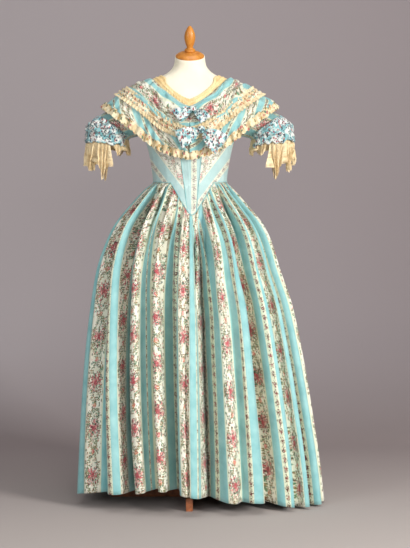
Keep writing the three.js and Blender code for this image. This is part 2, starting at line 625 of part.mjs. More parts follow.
// The puff starts above the sleeve's hem and hangs past it, in front of the lace.
const PUFF = {
  rows: [2.4, 3.2, 4], turns: [20, 40, 60, 80, 100, 120, 140], high: 18, hang: 26, flare: 5, ease: 2,
};
for (const side of SIDES) {
  const tube = sleeveGrid(side, SLEEVE_ROWS, ringTurns);
  piece(`sleeve_${side.name}`, wall(tube, SILK, { around: true }), 'silk');

  const seat = sleeveGrid(side, PUFF.rows, PUFF.turns);
  seat.push(seat[seat.length - 1].map((point) => {
    const middle = new THREE.Vector3(side.x * SLEEVE[4].x, 0, point.z);
    const outward = new THREE.Vector3().subVectors(point, middle).normalize();
    return point.clone().addScaledVector(outward, PUFF.flare).setZ(point.z - PUFF.hang);
  }));
  const normals = gridNormals(seat, false);
  const puff = (height) => seat.map((line, r) => line.map((point, c) => {
    const [u, v] = [r / (seat.length - 1), c / (PUFF.turns.length - 1)];
    const crown = Math.sin(Math.PI * u) * Math.sin(Math.PI * v);
    const out = SILK / 2 + 2 * SEAM_GAP + PUFF.ease * u + height * (0.1 + 0.9 * crown);
    return point.clone().addScaledVector(normals[r][c], out);
  }));
  piece(`sleeve_puff_${side.name}`, bodyBetween(puff(PUFF.high), puff(0), false), 'silk');

  for (const fall of LACE_FALLS) {
    const rows = [0, 0.5, 1].map((share) => {
      const line = [];
      for (let c = 0; c <= fall.columns; c += 1) {
        const turn = THREE.MathUtils.lerp(fall.from, fall.to, c / fall.columns);
        const top = sleevePoint(side, 4, turn);
        const centre = new THREE.Vector3(side.x * SLEEVE[4].x, 0, top.z);
        const outward = new THREE.Vector3().subVectors(top, centre).setZ(0).normalize();
        const length = THREE.MathUtils.lerp(fall.short, fall.long, Math.abs(Math.sin(radians(turn))));
        top.z -= 2 * SEAM_GAP + share * length;
        top.addScaledVector(outward, share * (3 + fall.wave * (c % 2 ? 1 : -1)));
        line.push(top);
      }
      return side.x > 0 ? line.reverse() : line;
    });
    piece(`sleeve_lace_${fall.name}_${side.name}`, wall(rows, LACE), 'lace');
  }
}

// ---- Bows ---------------------------------------------------------------------------------------------
// A loop is a band of silk that runs out from the knot and back. Each step of its path says how far out and
// how far forward it is, and the band's half-width there, as shares of the loop's length and width.
const LOOP_PATH = [
  { out: 0, front: 0.03, half: 0.16 }, { out: 0.22, front: 0.15, half: 0.34 },
  { out: 0.58, front: 0.22, half: 0.47 }, { out: 0.88, front: 0.16, half: 0.5 },
  { out: 1, front: 0.05, half: 0.48 }, { out: 0.86, front: -0.02, half: 0.47 },
  { out: 0.55, front: -0.03, half: 0.42 }, { out: 0.22, front: -0.03, half: 0.3 },
];
const KNOT_FLATNESS = 0.62;
for (const bow of BOWS) {
  const aside = (entry) => Math.abs(entry.point.x - bow.x);
  const seat = Array.from({ length: 61 }, (_, i) => i / 2)
    .map((degrees) => ({ degrees, point: capePoint(SIDES[0], degrees, bow.w) }))
    .reduce((best, entry) => (aside(entry) < aside(best) ? entry : best));
  const below = capePoint(SIDES[0], seat.degrees, bow.w + 0.2);
  const up = new THREE.Vector3(0, seat.point.y - below.y, seat.point.z - below.z).normalize();
  const out = new THREE.Vector3(0, -up.z, up.y);
  const flat = bow.knot * KNOT_FLATNESS;
  const centre = seat.point.clone().addScaledVector(out, bow.lift + flat);
  const lean = new THREE.Quaternion().setFromUnitVectors(new THREE.Vector3(0, 0, 1), up);
  const knot = new THREE.SphereGeometry(bow.knot, 10, 7).scale(1, KNOT_FLATNESS, 1)
    .applyQuaternion(lean).translate(...centre.toArray());
  piece(`bow_${bow.name}_knot`, toGeometry(toManifold(knot)), 'silk');
  for (const loop of bow.loops) {
    const turn = radians(loop.turn);
    const along = new THREE.Vector3(Math.cos(turn), 0, 0).addScaledVector(up, Math.sin(turn));
    const across = new THREE.Vector3(-Math.sin(turn), 0, 0).addScaledVector(up, Math.cos(turn));
    const root = centre.clone().addScaledVector(along, bow.knot + LACE / 2 + SEAM_GAP / 2);
    const rows = [1, 0.35, -0.35, -1].map((share) => LOOP_PATH.map((step) => root.clone()
      .addScaledVector(along, step.out * loop.length)
      .addScaledVector(out, (step.front + step.out * loop.rise) * loop.length)
      .addScaledVector(across, share * step.half * loop.width)));
    piece(`bow_${bow.name}_loop_${loop.name}`, wall(rows, LACE, { around: true }), 'silk');
  }
}

// The origin is the middle of the underside of the box round everything.
const bounds = new THREE.Box3().setFromObject(gown);
const middle = bounds.getCenter(new THREE.Vector3());
gown.position.set(-middle.x, -middle.y, 0);
gown.updateMatrixWorld(true);

export default gown;
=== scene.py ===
# A ball gown of about 1850 in striped and flowered silk, on a limbless dress form with a wooden cross stand.
# Metres, +Z up. The gown faces -Y, so the wearer's left is +X. Shapes are worked out from the pole's axis.
import math

import bmesh
import bpy
import numpy as np
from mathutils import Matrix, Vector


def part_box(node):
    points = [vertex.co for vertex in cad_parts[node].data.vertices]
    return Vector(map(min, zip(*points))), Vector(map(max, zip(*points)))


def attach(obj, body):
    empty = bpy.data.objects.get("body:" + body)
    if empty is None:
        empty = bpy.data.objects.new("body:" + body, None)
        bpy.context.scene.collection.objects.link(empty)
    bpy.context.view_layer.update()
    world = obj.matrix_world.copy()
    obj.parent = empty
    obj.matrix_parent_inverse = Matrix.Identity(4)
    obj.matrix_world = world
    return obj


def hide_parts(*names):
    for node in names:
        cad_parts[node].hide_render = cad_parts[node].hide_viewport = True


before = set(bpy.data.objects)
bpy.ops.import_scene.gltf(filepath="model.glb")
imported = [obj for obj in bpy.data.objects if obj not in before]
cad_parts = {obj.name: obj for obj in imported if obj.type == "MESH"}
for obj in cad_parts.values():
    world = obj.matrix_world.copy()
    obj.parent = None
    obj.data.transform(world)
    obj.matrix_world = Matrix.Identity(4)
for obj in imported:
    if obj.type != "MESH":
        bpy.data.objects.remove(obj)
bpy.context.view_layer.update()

# ---- View ------------------------------------------------------------------------------------------------
# A portrait lens at chest height, five metres off, a little to the wearer's left of the pole.
pole_low, pole_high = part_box("stand_pole")
AXIS = np.array([(pole_low.x + pole_high.x) / 2, (pole_low.y + pole_high.y) / 2, 0.0])
CAMERA_BACK = 5.0
CAMERA_ASIDE = 0.0495
CAMERA_HEIGHT = 0.95
CAMERA_DIP = math.radians(2.42)


def in_scene(name, data):
    """An object for some data, placed in the scene."""
    made = bpy.data.objects.new(name, data)
    bpy.context.scene.collection.objects.link(made)
    return made


lens = bpy.data.cameras.new("portrait_lens")
lens.lens = 99.5
lens.clip_end = 50
camera = in_scene("portrait_camera", lens)
camera.location = (AXIS[0] + CAMERA_ASIDE, AXIS[1] - CAMERA_BACK, CAMERA_HEIGHT)
camera.rotation_euler = (math.pi / 2 - CAMERA_DIP, 0, 0)
bpy.context.scene.camera = camera

# ---- Dress form ------------------------------------------------------------------------------------------
# A padded torso covered in ivory cotton, without limbs or head. The cover is stretched over a shaped core.
# The neck is cut off at a slant and closed with a turned beech cap and knob.
FORM_FLOOR = 0.790


def table(names, rows):
    """A table of numbers by the names of its columns."""
    return dict(zip(names.split(), np.array(rows, float).T))


def smooth_row(rows, key, at):
    """The columns of a table at some values of its key, on a smooth curve through the rows."""
    keys = rows[key]
    at = np.asarray(at, float)
    i = np.clip(np.searchsorted(keys, at, "right") - 1, 0, len(keys) - 2)
    width = keys[i + 1] - keys[i]
    s = np.clip((at - keys[i]) / width, 0, 1)
    places = np.arange(len(keys))
    before, after = np.maximum(places - 1, 0), np.minimum(places + 1, len(keys) - 1)
    found = {}
    for name, column in rows.items():
        slope = (column[after] - column[before]) / (keys[after] - keys[before])
        rise = (1 - s) ** 2 * (1 + 2 * s) * column[i] + s**2 * (3 - 2 * s) * column[i + 1]
        found[name] = rise + width * (slope[i] * s * (1 - s) ** 2 - slope[i + 1] * s**2 * (1 - s))
    return found


def unit(vectors):
    return vectors / np.maximum(np.linalg.norm(vectors, axis=-1, keepdims=True), 1e-12)


def mix(a, b, share):
    return a + (b - a) * share


def smoothstep(value, low, high):
    s = np.clip((value - low) / (high - low), 0, 1)
    return s * s * (3 - 2 * s)


def ripple(seed, u, v, count=7, low=1.0, high=4.0):
    """Smooth unevenness from about -1 to 1 over two coordinates."""
    random = np.random.default_rng(seed)
    total = 0
    for _ in range(count):
        turn, size = random.uniform(0, 2 * np.pi), random.uniform(low, high)
        phase = random.uniform(0, 2 * np.pi)
        total = total + np.sin(size * (u * np.cos(turn) + v * np.sin(turn)) + phase)
    return total / count**0.5 / 1.2


def grid_normals(points, around=False):
    """Outward direction at each point of a grid: rows go down, columns go to the wearer's left."""
    down = np.gradient(points, axis=0)
    if around:
        across = np.roll(points, -1, 1) - np.roll(points, 1, 1)
    else:
        across = np.gradient(points, axis=1)
    return unit(np.cross(down, across))


def grid_mesh(name, points, uv=None, around=False, wall=0.0, flip=False, ends=False):
    """A piece through a grid of points. Its uv has one column more where the grid goes right round."""
    height, width = points.shape[:2]
    spans = width if around else width - 1
    r, c = np.meshgrid(np.arange(height - 1), np.arange(spans), indexing="ij")
    corners = [(r, c), (r + 1, c), (r + 1, c + 1), (r, c + 1)]
    if flip:
        corners.reverse()
    faces = np.stack([rr * width + cc % width for rr, cc in corners], -1).reshape(-1, 4)
    mesh = bpy.data.meshes.new(name)
    mesh.from_pydata((points + AXIS).reshape(-1, 3).tolist(), [], faces.tolist())
    if uv is not None:
        layer = mesh.uv_layers.new(name="cloth")
        picked = np.stack([uv[rr, cc] for rr, cc in corners], -2).reshape(-1, 2)
        layer.data.foreach_set("uv", picked.ravel())
    if ends:
        shape = bmesh.new()
        shape.from_mesh(mesh)
        bmesh.ops.holes_fill(shape, edges=shape.edges)
        shape.to_mesh(mesh)
        shape.free()
    mesh.polygons.foreach_set("use_smooth", np.ones(len(mesh.polygons), bool))
    mesh.update()
    piece = in_scene(name, mesh)
    if wall:
        thickness = piece.modifiers.new("cloth_wall", "SOLIDIFY")
        thickness.thickness = wall
        thickness.offset = -1
    return piece


def finish_piece(piece, material, slot, *nodes):
    piece.data.materials.append(material)
    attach(piece, "root")
    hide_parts(*nodes)


TORSO = table("z half front back", [
    (0.790, 0.146, 0.100, 0.106), (0.840, 0.163, 0.116, 0.122), (0.918, 0.152, 0.118, 0.114),
    (0.980, 0.133, 0.108, 0.101), (1.040, 0.1195, 0.099, 0.092), (1.090, 0.124, 0.106, 0.096),
    (1.140, 0.133, 0.121, 0.102), (1.190, 0.147, 0.136, 0.108), (1.240, 0.159, 0.130, 0.112),
    (1.285, 0.165, 0.108, 0.108), (1.325, 0.164, 0.082, 0.092), (1.355, 0.155, 0.064, 0.068),
    (1.370, 0.136, 0.058, 0.060), (1.381, 0.112, 0.057, 0.056), (1.393, 0.084, 0.056, 0.053),
    (1.407, 0.065, 0.056, 0.048), (1.425, 0.053, 0.055, 0.042), (1.475, 0.047, 0.056, 0.038)])


def torso_place(angle, z):
    row = smooth_row(TORSO, "z", z)
    depth = np.where(np.cos(angle) > 0, row["front"], row["back"])
    return np.stack([row["half"] * np.sin(angle), -depth * np.cos(angle), z + 0 * angle], -1)


def torso_point(angle, z, out=0.0):
    """A point of the torso at an angle from the front and a height, or a distance outside it."""
    angle, z = np.broadcast_arrays(np.asarray(angle, float), np.asarray(z, float))
    down = torso_place(angle, z - 0.005) - torso_place(angle, z + 0.005)
    across = torso_place(angle + 0.02, z) - torso_place(angle - 0.02, z)
    return torso_place(angle, z) + np.asarray(out)[..., None] * unit(np.cross(down, across))


def dye(red, green, blue):
    """A colour as the eye reads it, 0 to 255, for a shader."""
    parts = [value / 255 for value in (red, green, blue)]
    return tuple(p / 12.92 if p <= 0.04045 else ((p + 0.055) / 1.055) ** 2.4 for p in parts) + (1.0,)


class Field:
    """A number that changes over a surface, held as a socket of a node tree and worked on with arithmetic."""

    def __init__(self, tree, socket):
        self.tree, self.socket = tree, socket

    def then(self, operation, *others):
        node = self.tree.nodes.new("ShaderNodeMath")
        node.operation = operation
        for slot, value in zip(node.inputs, (self, *others)):
            if isinstance(value, Field):
                self.tree.links.new(value.socket, slot)
            else:
                slot.default_value = value
        return Field(self.tree, node.outputs[0])

    def __add__(self, other):
        return self.then("ADD", other)

    def __sub__(self, other):
        return self.then("SUBTRACT", other)

    def __mul__(self, other):
        return self.then("MULTIPLY", other)

    def __rsub__(self, other):
        return (self * -1) + other

    def below(self, edge):
        return self.then("LESS_THAN", edge)

    def above(self, edge):
        return self.then("GREATER_THAN", edge)

    def spread(self, low, high):
        """0 at low and 1 at high, held there beyond them."""
        return ((self - low) * (1 / (high - low))).then("MAXIMUM", 0.0).then("MINIMUM", 1.0)

    __radd__ = __add__
    __rmul__ = __mul__


def noise(tree, vector, scale, detail=3.0, roughness=0.5):
    node = tree.nodes.new("ShaderNodeTexNoise")
    node.inputs["Scale"].default_value = scale
    node.inputs["Detail"].default_value = detail
    node.inputs["Roughness"].default_value = roughness
    tree.links.new(vector, node.inputs["Vector"])
    return Field(tree, node.outputs["Fac"])


def blend_colour(tree, share, first, second):
    """The first colour where share is 0 and the second where it is 1."""
    node = tree.nodes.new("ShaderNodeMix")
    node.data_type = "RGBA"
    for socket, value in ((node.inputs[0], share), (node.inputs[6], first), (node.inputs[7], second)):
        if isinstance(value, Field):
            tree.links.new(value.socket, socket)
        elif isinstance(value, bpy.types.NodeSocket):
            tree.links.new(value, socket)
        else:
            socket.default_value = value
    return node.outputs[2]


def new_material(name, roughness, sheen=0.0, coat=0.0):
    material = bpy.data.materials.new(name)
    material.use_nodes = True
    tree = material.node_tree
    shader = tree.nodes["Principled BSDF"]
    shader.inputs["Roughness"].default_value = roughness
    shader.inputs["Sheen Weight"].default_value = sheen
    shader.inputs["Sheen Roughness"].default_value = 0.4
    shader.inputs["Coat Weight"].default_value = coat
    places = tree.nodes.new("ShaderNodeTexCoord")
    return material, tree, shader, places


def bump(tree, shader, height, distance, strength=1.0):
    node = tree.nodes.new("ShaderNodeBump")
    node.inputs["Distance"].default_value = distance
    node.inputs["Strength"].default_value = strength
    tree.links.new(height.socket, node.inputs["Height"])
    tree.links.new(node.outputs["Normal"], shader.inputs["Normal"])


def weave_group():
    """Plain weave: warp over weft, with slubs. Takes a place in metres and the threads to a metre."""
    tree = bpy.data.node_groups.new("plain_weave", "ShaderNodeTree")
    tree.interface.new_socket("Place", in_out="INPUT", socket_type="NodeSocketVector")
    tree.interface.new_socket("Threads", in_out="INPUT", socket_type="NodeSocketFloat")
    tree.interface.new_socket("Height", in_out="OUTPUT", socket_type="NodeSocketFloat")
    given, made = tree.nodes.new("NodeGroupInput"), tree.nodes.new("NodeGroupOutput")
    split = tree.nodes.new("ShaderNodeSeparateXYZ")
    tree.links.new(given.outputs["Place"], split.inputs[0])
    threads = Field(tree, given.outputs["Threads"]) * (2 * math.pi)
    warp = (Field(tree, split.outputs[0]) * threads).then("SINE")
    weft = (Field(tree, split.outputs[1]) * threads).then("SINE")
    slubs = noise(tree, given.outputs["Place"], 240.0, 2.0)
    height = warp * weft * 0.5 + slubs
    tree.links.new(height.socket, made.inputs["Height"])
    return tree


WEAVE = weave_group()


def weave(tree, vector, threads):
    node = tree.nodes.new("ShaderNodeGroup")
    node.node_tree = WEAVE
    node.inputs["Threads"].default_value = threads
    tree.links.new(vector, node.inputs["Place"])
    return Field(tree, node.outputs["Height"])


ivory_cotton, tree, shader, places = new_material("ivory_cotton", 0.85, sheen=0.15)
soil = noise(tree, places.outputs["Object"], 9.0, 4.0).spread(0.35, 0.75)
tree.links.new(blend_colour(tree, soil, dye(242, 234, 212), dye(232, 221, 192)), shader.inputs["Base Color"])
bump(tree, shader, weave(tree, places.outputs["UV"], 900.0), 0.0004, 0.5)

CAP_Z, CAP_Y, CAP_TILT = 1.452, -0.009, math.radians(22)
turns = np.linspace(0, 2 * np.pi, 96, endpoint=False)
levels = np.linspace(0, 1, 84)[:, None]
neck_top = CAP_Z - 0.0004 + np.tan(CAP_TILT) * (-0.056 * np.cos(turns) - CAP_Y) * 0.94
heights = mix(neck_top, FORM_FLOOR, levels)
form_grid = torso_point(turns + 0 * heights, heights)
form_uv = np.stack(np.broadcast_arrays(np.linspace(0, 0.8, 97), np.linspace(0, 0.68, 84)[:, None]), -1)
form_torso = grid_mesh("form_torso_cover", form_grid, form_uv, around=True, ends=True)
finish_piece(form_torso, ivory_cotton, "linen", "form_torso")


def wood(name, light, dark, roughness, grain_axis):
    """Varnished wood whose grain runs along one axis."""
    material, tree, shader, places = new_material(name, roughness, coat=0.12)
    stretch = tree.nodes.new("ShaderNodeMapping")
    stretch.inputs["Scale"].default_value = [9.0 if axis == grain_axis else 70.0 for axis in range(3)]
    tree.links.new(places.outputs["Object"], stretch.inputs["Vector"])
    grain = noise(tree, stretch.outputs["Vector"], 1.0, 6.0, 0.65)
    tree.links.new(blend_colour(tree, grain.spread(0.3, 0.7), dark, light), shader.inputs["Base Color"])
    bump(tree, shader, grain, 0.0006, 0.3)
    return material


beech = wood("varnished_beech", dye(216, 146, 54), dye(178, 104, 34), 0.42, 2)
walnut = wood("stained_walnut", dye(176, 104, 62), dye(104, 56, 30), 0.45, 1)


def turned(name, profile, steps=72):
    """A turned piece on the tilted cap, from a profile of radius and height above the cap's seat."""
    radius, height = np.array(profile).T
    angle = np.linspace(0, 2 * np.pi, steps, endpoint=False)
    x, y = radius[::-1, None] * np.sin(angle), -radius[::-1, None] * np.cos(angle)
    z = height[::-1, None] + 0 * angle
    lean_y = y * np.cos(CAP_TILT) - z * np.sin(CAP_TILT) + CAP_Y
    lean_z = y * np.sin(CAP_TILT) + z * np.cos(CAP_TILT) + CAP_Z
    return grid_mesh(name, np.stack([x, lean_y, lean_z], -1), around=True, ends=True)


def rounded(profile, steps=14):
    """A smooth curve through a turned profile."""
    points = np.array(profile)
    rows = {"i": np.arange(len(points), dtype=float), "r": points[:, 0], "z": points[:, 1]}
    found = smooth_row(rows, "i", np.linspace(0, len(points) - 1, steps * len(points)))
    return list(zip(np.maximum(found["r"], 0.0002), found["z"]))


CAP_RADIUS, CAP_RIM, CAP_DOME = 0.0465, 0.005, 0.013
dome_top = CAP_RIM + CAP_DOME
cap_edge = [(CAP_RADIUS, 0), (CAP_RADIUS + 0.0007, 0.0012), (CAP_RADIUS + 0.0008, 0.0034),
            (CAP_RADIUS - 0.0008, CAP_RIM)]
cap_crown = [(CAP_RADIUS - 0.0008, CAP_RIM), (CAP_RADIUS * 0.78, CAP_RIM + CAP_DOME * 0.5),
             (CAP_RADIUS * 0.5, CAP_RIM + CAP_DOME * 0.85), (0.018, dome_top)]
neck_cap = turned("form_neck_cap_turned", cap_edge + rounded(cap_crown) + [(0.001, dome_top)])
finish_piece(neck_cap, beech, "beech", "form_neck_cap")
knob_foot = dome_top + 0.0004
KNOB_PROFILE = [(0.017, 0.001), (0.018, 0.004), (0.015, 0.008), (0.0105, 0.012), (0.0115, 0.018),
                (0.016, 0.032), (0.018, 0.048), (0.015, 0.064), (0.009, 0.077), (0.003, 0.0845)]
knob_line = [(radius, knob_foot + height) for radius, height in KNOB_PROFILE]
knob = turned("form_knob_turned", [(0.016, knob_foot)] + rounded(knob_line))
finish_piece(knob, beech, "beech", "form_knob")

# ---- Stand -----------------------------------------------------------------------------------------------
# A stained wooden pole on a cross of planed rails. One long rail runs from front to back, and a short one
# meets it on each side.
POLE_RADIUS, RAIL_BEVEL = 0.015, 0.0015


def rail(name, node):
    """A planed rail of the cross, with its edges eased."""
    low, high = (np.array(corner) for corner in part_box(node))
    mesh = bpy.data.meshes.new(name)
    shape = bmesh.new()
    bmesh.ops.create_cube(shape, size=1)
    for vertex in shape.verts:
        vertex.co = mix(low, high, np.array(vertex.co) + 0.5)
    bmesh.ops.bevel(shape, geom=shape.edges, offset=RAIL_BEVEL, segments=3, affect="EDGES")
    shape.to_mesh(mesh)
    shape.free()
    finish_piece(in_scene(name, mesh), walnut, "walnut", node)


for node in ("stand_foot_long", "stand_foot_left", "stand_foot_right"):
    rail(node + "_planed", node)
pole_z = np.linspace(pole_high.z, pole_low.z, 24)[:, None]
pole_x, pole_y = POLE_RADIUS * np.sin(turns), -POLE_RADIUS * np.cos(turns)
pole_grid = np.stack(np.broadcast_arrays(pole_x, pole_y, pole_z), -1)
pole = grid_mesh("stand_pole_turned", pole_grid, around=True, ends=True)
finish_piece(pole, walnut, "walnut", "stand_pole")

# ---- The silk --------------------------------------------------------------------------------------------
# Taffeta woven with wide cream stripes of bouquets between vines, plain turquoise stripes, and narrow cream
# stripes of buds. The piece's own map gives the place on the silk: repeats across, metres along.
SILK_WALL = 0.0008
REPEAT = 0.156
# In millimetres on the silk, as in silk_group: the stripes, the steps of the pattern and its flowers.
WIDE_HALF, NARROW_HALF, GREEN_EDGE, FLOWERS_EDGE = 35.0, 9.0, 6.0, 4.0
BOUQUET_STEP, BOUQUET_AT, NEXT_STRIPE_DROP, BUD_STEP = 147.0, 57.0, 48.0, 30.0
VINE_SWING, VINE_STRAY, VINE_LEAF_STEP, VINE_LEAF, VINE_STEM = 24.0, 34.0, 8.0, 6.5, 1.0
BOUQUET_REACH, BOUQUET_SPREAD, HEART_RADIUS, SMALL_FLOWER = 13.0, 20.0, 8.0, 9.0
# Threads to a metre.
SILK_THREADS = 1100.0
CREAM, OLD_CREAM, PALE_GREEN = dye(240, 239, 224), dye(231, 225, 200), dye(220, 224, 196)
TURQUOISE, DEEP_TURQUOISE = dye(155, 206, 205), dye(126, 185, 187)
ROSE, CRIMSON, BLUSH, ORANGE = dye(206, 92, 100), dye(150, 40, 52), dye(232, 160, 152), dye(206, 132, 84)
LEAF, DEEP_LEAF, VINE, OLIVE = dye(96, 140, 106), dye(56, 86, 70), dye(140, 106, 64), dye(130, 128, 74)
MAROON, BARK = dye(104, 40, 44), dye(92, 66, 46)
BOUQUET = [CRIMSON, DEEP_LEAF, ROSE, LEAF, ROSE, MAROON, BLUSH, DEEP_LEAF, ROSE, VINE]
TENDRILS = [VINE, OLIVE, LEAF, VINE, DEEP_LEAF, OLIVE, VINE, LEAF]
SPRIGS = [LEAF, VINE, OLIVE, DEEP_LEAF, BLUSH, LEAF, BARK]
BUDS = [dye(132, 62, 60), MAROON, dye(158, 84, 74), BARK]


def cells(tree, vector, scale):
    """Irregular cells: how far each place is from its cell's middle, and a number drawn for each cell."""
    node = tree.nodes.new("ShaderNodeTexVoronoi")
    node.inputs["Scale"].default_value = scale
    tree.links.new(vector, node.inputs["Vector"])
    drawn = tree.nodes.new("ShaderNodeSeparateColor")
    tree.links.new(node.outputs["Color"], drawn.inputs[0])
    return Field(tree, node.outputs["Distance"]), Field(tree, drawn.outputs[0])


def threads_of(tree, share, colours):
    """One of several thread colours, in even steps of a number from 0 to 1."""
    node = tree.nodes.new("ShaderNodeValToRGB")
    ramp = node.color_ramp
    ramp.interpolation = "CONSTANT"
    ramp.elements.remove(ramp.elements[1])
    ramp.elements[0].color = colours[0]
    for step, colour in enumerate(colours[1:], 1):
        ramp.elements.new(step / len(colours)).color = colour
    tree.links.new(share.socket, node.inputs[0])
    return node.outputs[0]


def place_of(tree, *values):
    node = tree.nodes.new("ShaderNodeCombineXYZ")
    for value, slot in zip(values, node.inputs):
        tree.links.new(value.socket, slot)
    return node.outputs[0]


def silk_group():
    """The woven stripes and flowers. Puts out the colour and where the brocaded figure lies."""
    tree = bpy.data.node_groups.new("flowered_stripes", "ShaderNodeTree")
    tree.interface.new_socket("Silk", in_out="INPUT", socket_type="NodeSocketVector")
    tree.interface.new_socket("Color", in_out="OUTPUT", socket_type="NodeSocketColor")
    tree.interface.new_socket("Figure", in_out="OUTPUT", socket_type="NodeSocketFloat")
    given, made = tree.nodes.new("NodeGroupInput"), tree.nodes.new("NodeGroupOutput")
    split = tree.nodes.new("ShaderNodeSeparateXYZ")
    tree.links.new(given.outputs["Silk"], split.inputs[0])
    across, along = Field(tree, split.outputs[0]), Field(tree, split.outputs[1]) * 1000.0
    stripe = across.then("ROUND")
    aside = (across - stripe) * (REPEAT * 1000)
    odd = (stripe * 0.5).then("FRACT") * 2.0
    drop = (along - BOUQUET_AT - odd * NEXT_STRIPE_DROP) * (1 / BOUQUET_STEP) + 0.5
    up = (drop.then("FRACT") - 0.5) * BOUQUET_STEP
    flat = place_of(tree, across * (REPEAT * 1000), along)
    wobble_aside = noise(tree, flat, 0.12, 2.0) - 0.5
    wobble_up = noise(tree, flat, 0.19, 2.0) - 0.5
    x, y = aside + wobble_aside * 10.0, up + wobble_up * 10.0
    strokes = noise(tree, flat, 0.30, 1.0)
    _, drawn = cells(tree, flat, 0.19)
    distance = aside.then("ABSOLUTE")
    wide, narrow = distance.below(WIDE_HALF), distance.above(REPEAT * 500 - NARROW_HALF)
    figures = []

    def brocade(colour, mask, threads):
        figures.append(mask)
        return blend_colour(tree, mask, colour, threads)

    tint = noise(tree, flat, 0.02, 3.0)
    colour = blend_colour(tree, tint.spread(0.3, 0.7), TURQUOISE, DEEP_TURQUOISE)
    ground = blend_colour(tree, tint.spread(0.35, 0.75), CREAM, OLD_CREAM)
    ground = blend_colour(tree, distance.above(WIDE_HALF - GREEN_EDGE), ground, PALE_GREEN)
    colour = blend_colour(tree, wide.then("MAXIMUM", narrow), colour, ground)
    wide = distance.below(WIDE_HALF - FLOWERS_EDGE)

    # Sprigs strewn between the bouquets, as short upright strokes.
    sprig_near, sprig_drawn = cells(tree, place_of(tree, across * (REPEAT * 1000), along * 0.6), 0.15)
    sprig = sprig_near.below(0.45) * sprig_drawn.above(0.15) * strokes.above(0.41) * wide
    colour = brocade(colour, sprig, threads_of(tree, drawn, SPRIGS))

    # Two vines that swing apart round each bouquet and cross between bouquets, with leaves along them.
    loose = (noise(tree, flat, 0.045, 1.0) - 0.5) * VINE_STRAY
    swing = (y * (math.pi / BOUQUET_STEP)).then("COSINE") * VINE_SWING
    leaves = ((y + strokes * 9.0) * (math.pi / VINE_LEAF_STEP)).then("SINE").then("ABSOLUTE")
    leafy = leaves * leaves * VINE_LEAF + VINE_STEM
    off_vine = ((x + loose).then("ABSOLUTE") - swing).then("ABSOLUTE")
    vine = (off_vine - leafy).below(0.0) * strokes.above(0.43) * wide
    colour = brocade(colour, vine, threads_of(tree, drawn, TENDRILS))

    # A bouquet: petals and leaves that stand out from its middle, in broken strokes of many threads.
    turn = y.then("ARCTAN2", x)
    from_middle = (x * x * 1.25 + y * y * 0.8).then("SQRT")
    spread = (turn * 4.5 + wobble_aside * 7.0).then("SINE").then("ABSOLUTE")
    each_bouquet = stripe * 7.0 + drop.then("FLOOR")
    rays = noise(tree, place_of(tree, turn * 3.4, from_middle * 0.055, each_bouquet), 1.6, 2.0, 0.6)
    reach = spread * BOUQUET_SPREAD + BOUQUET_REACH
    spray = (from_middle - reach).below(0.0) * (rays - from_middle * 0.0022).above(0.42) * wide
    bloom = drawn * 0.55 + from_middle * 0.006 + rays * 0.22
    colour = brocade(colour, spray, threads_of(tree, bloom, BOUQUET))
    heart = from_middle.below(HEART_RADIUS) * strokes.above(0.40) * wide
    colour = brocade(colour, heart, threads_of(tree, strokes * 2.0 - 0.5, [MAROON, CRIMSON, ROSE, CRIMSON]))

    # A small flower where the vines cross.
    across_knot = BOUQUET_STEP / 2 - up.then("ABSOLUTE")
    knot = (across_knot * across_knot * 0.7 + x * x).then("SQRT") - strokes * SMALL_FLOWER
    small_flower = knot.below(2.0) * strokes.above(0.4) * wide
    colour = brocade(colour, small_flower, threads_of(tree, drawn, [ORANGE, VINE, BLUSH, ROSE]))

    # The narrow stripe: leaves strewn along a stem, closing round a red-brown bud at each step.
    bud = along * (1 / BUD_STEP)
    bud_in = distance - REPEAT * 500 + wobble_aside * 4.0 + 0.5
    beat = ((bud + wobble_up * 0.5) * (2 * math.pi)).then("COSINE")
    spots = noise(tree, place_of(tree, across * (REPEAT * 1000), along * 0.7), 0.34, 1.5)
    leafage = (spots - bud_in.then("ABSOLUTE") * 0.026 + beat * 0.07).above(0.46) * narrow
    colour = brocade(colour, leafage, threads_of(tree, drawn, [DEEP_LEAF, BARK, LEAF, BARK]))
    buds = (spots - bud_in.then("ABSOLUTE") * 0.04 + beat * 0.12).above(0.50) * narrow
    colour = brocade(colour, buds, threads_of(tree, drawn, BUDS))

    figure = figures[0]
    for mask in figures[1:]:
        figure = figure.then("MAXIMUM", mask)
    tree.links.new(colour, made.inputs["Color"])
    tree.links.new(figure.socket, made.inputs["Figure"])
    return tree


SILK = silk_group()


def silk_material(name, crinkle=0.5, roughness=0.4, painted_sheen=0.0):
    """The flowered silk, more or less crinkled, with a painted sheen: its colour paled evenly toward white by
    a given share.
    """
    material, tree, shader, places = new_material(name, roughness, sheen=0.25)
    stripes = tree.nodes.new("ShaderNodeGroup")
    stripes.node_tree = SILK
    tree.links.new(places.outputs["UV"], stripes.inputs["Silk"])
    # Painted sheen: the colour is paled toward white by a fixed share, standing in for the silk's highlights.
    colour = blend_colour(tree, painted_sheen, stripes.outputs["Color"], dye(244, 246, 240))
    tree.links.new(colour, shader.inputs["Base Color"])
    creases = noise(tree, places.outputs["Object"], 55.0, 4.0, 0.6)
    threads = weave(tree, places.outputs["Object"], SILK_THREADS)
    figure = Field(tree, stripes.outputs["Figure"])
    bump(tree, shader, creases + threads * 0.12 + figure * 0.06, 0.004, crinkle)
    return material


gown_silk = silk_material("flowered_taffeta", crinkle=0.62, roughness=0.33)
# The bodice silk carries a painted sheen that pales its colour toward white.
bodice_silk = silk_material("bodice_taffeta", crinkle=0.7, roughness=0.26, painted_sheen=0.3)

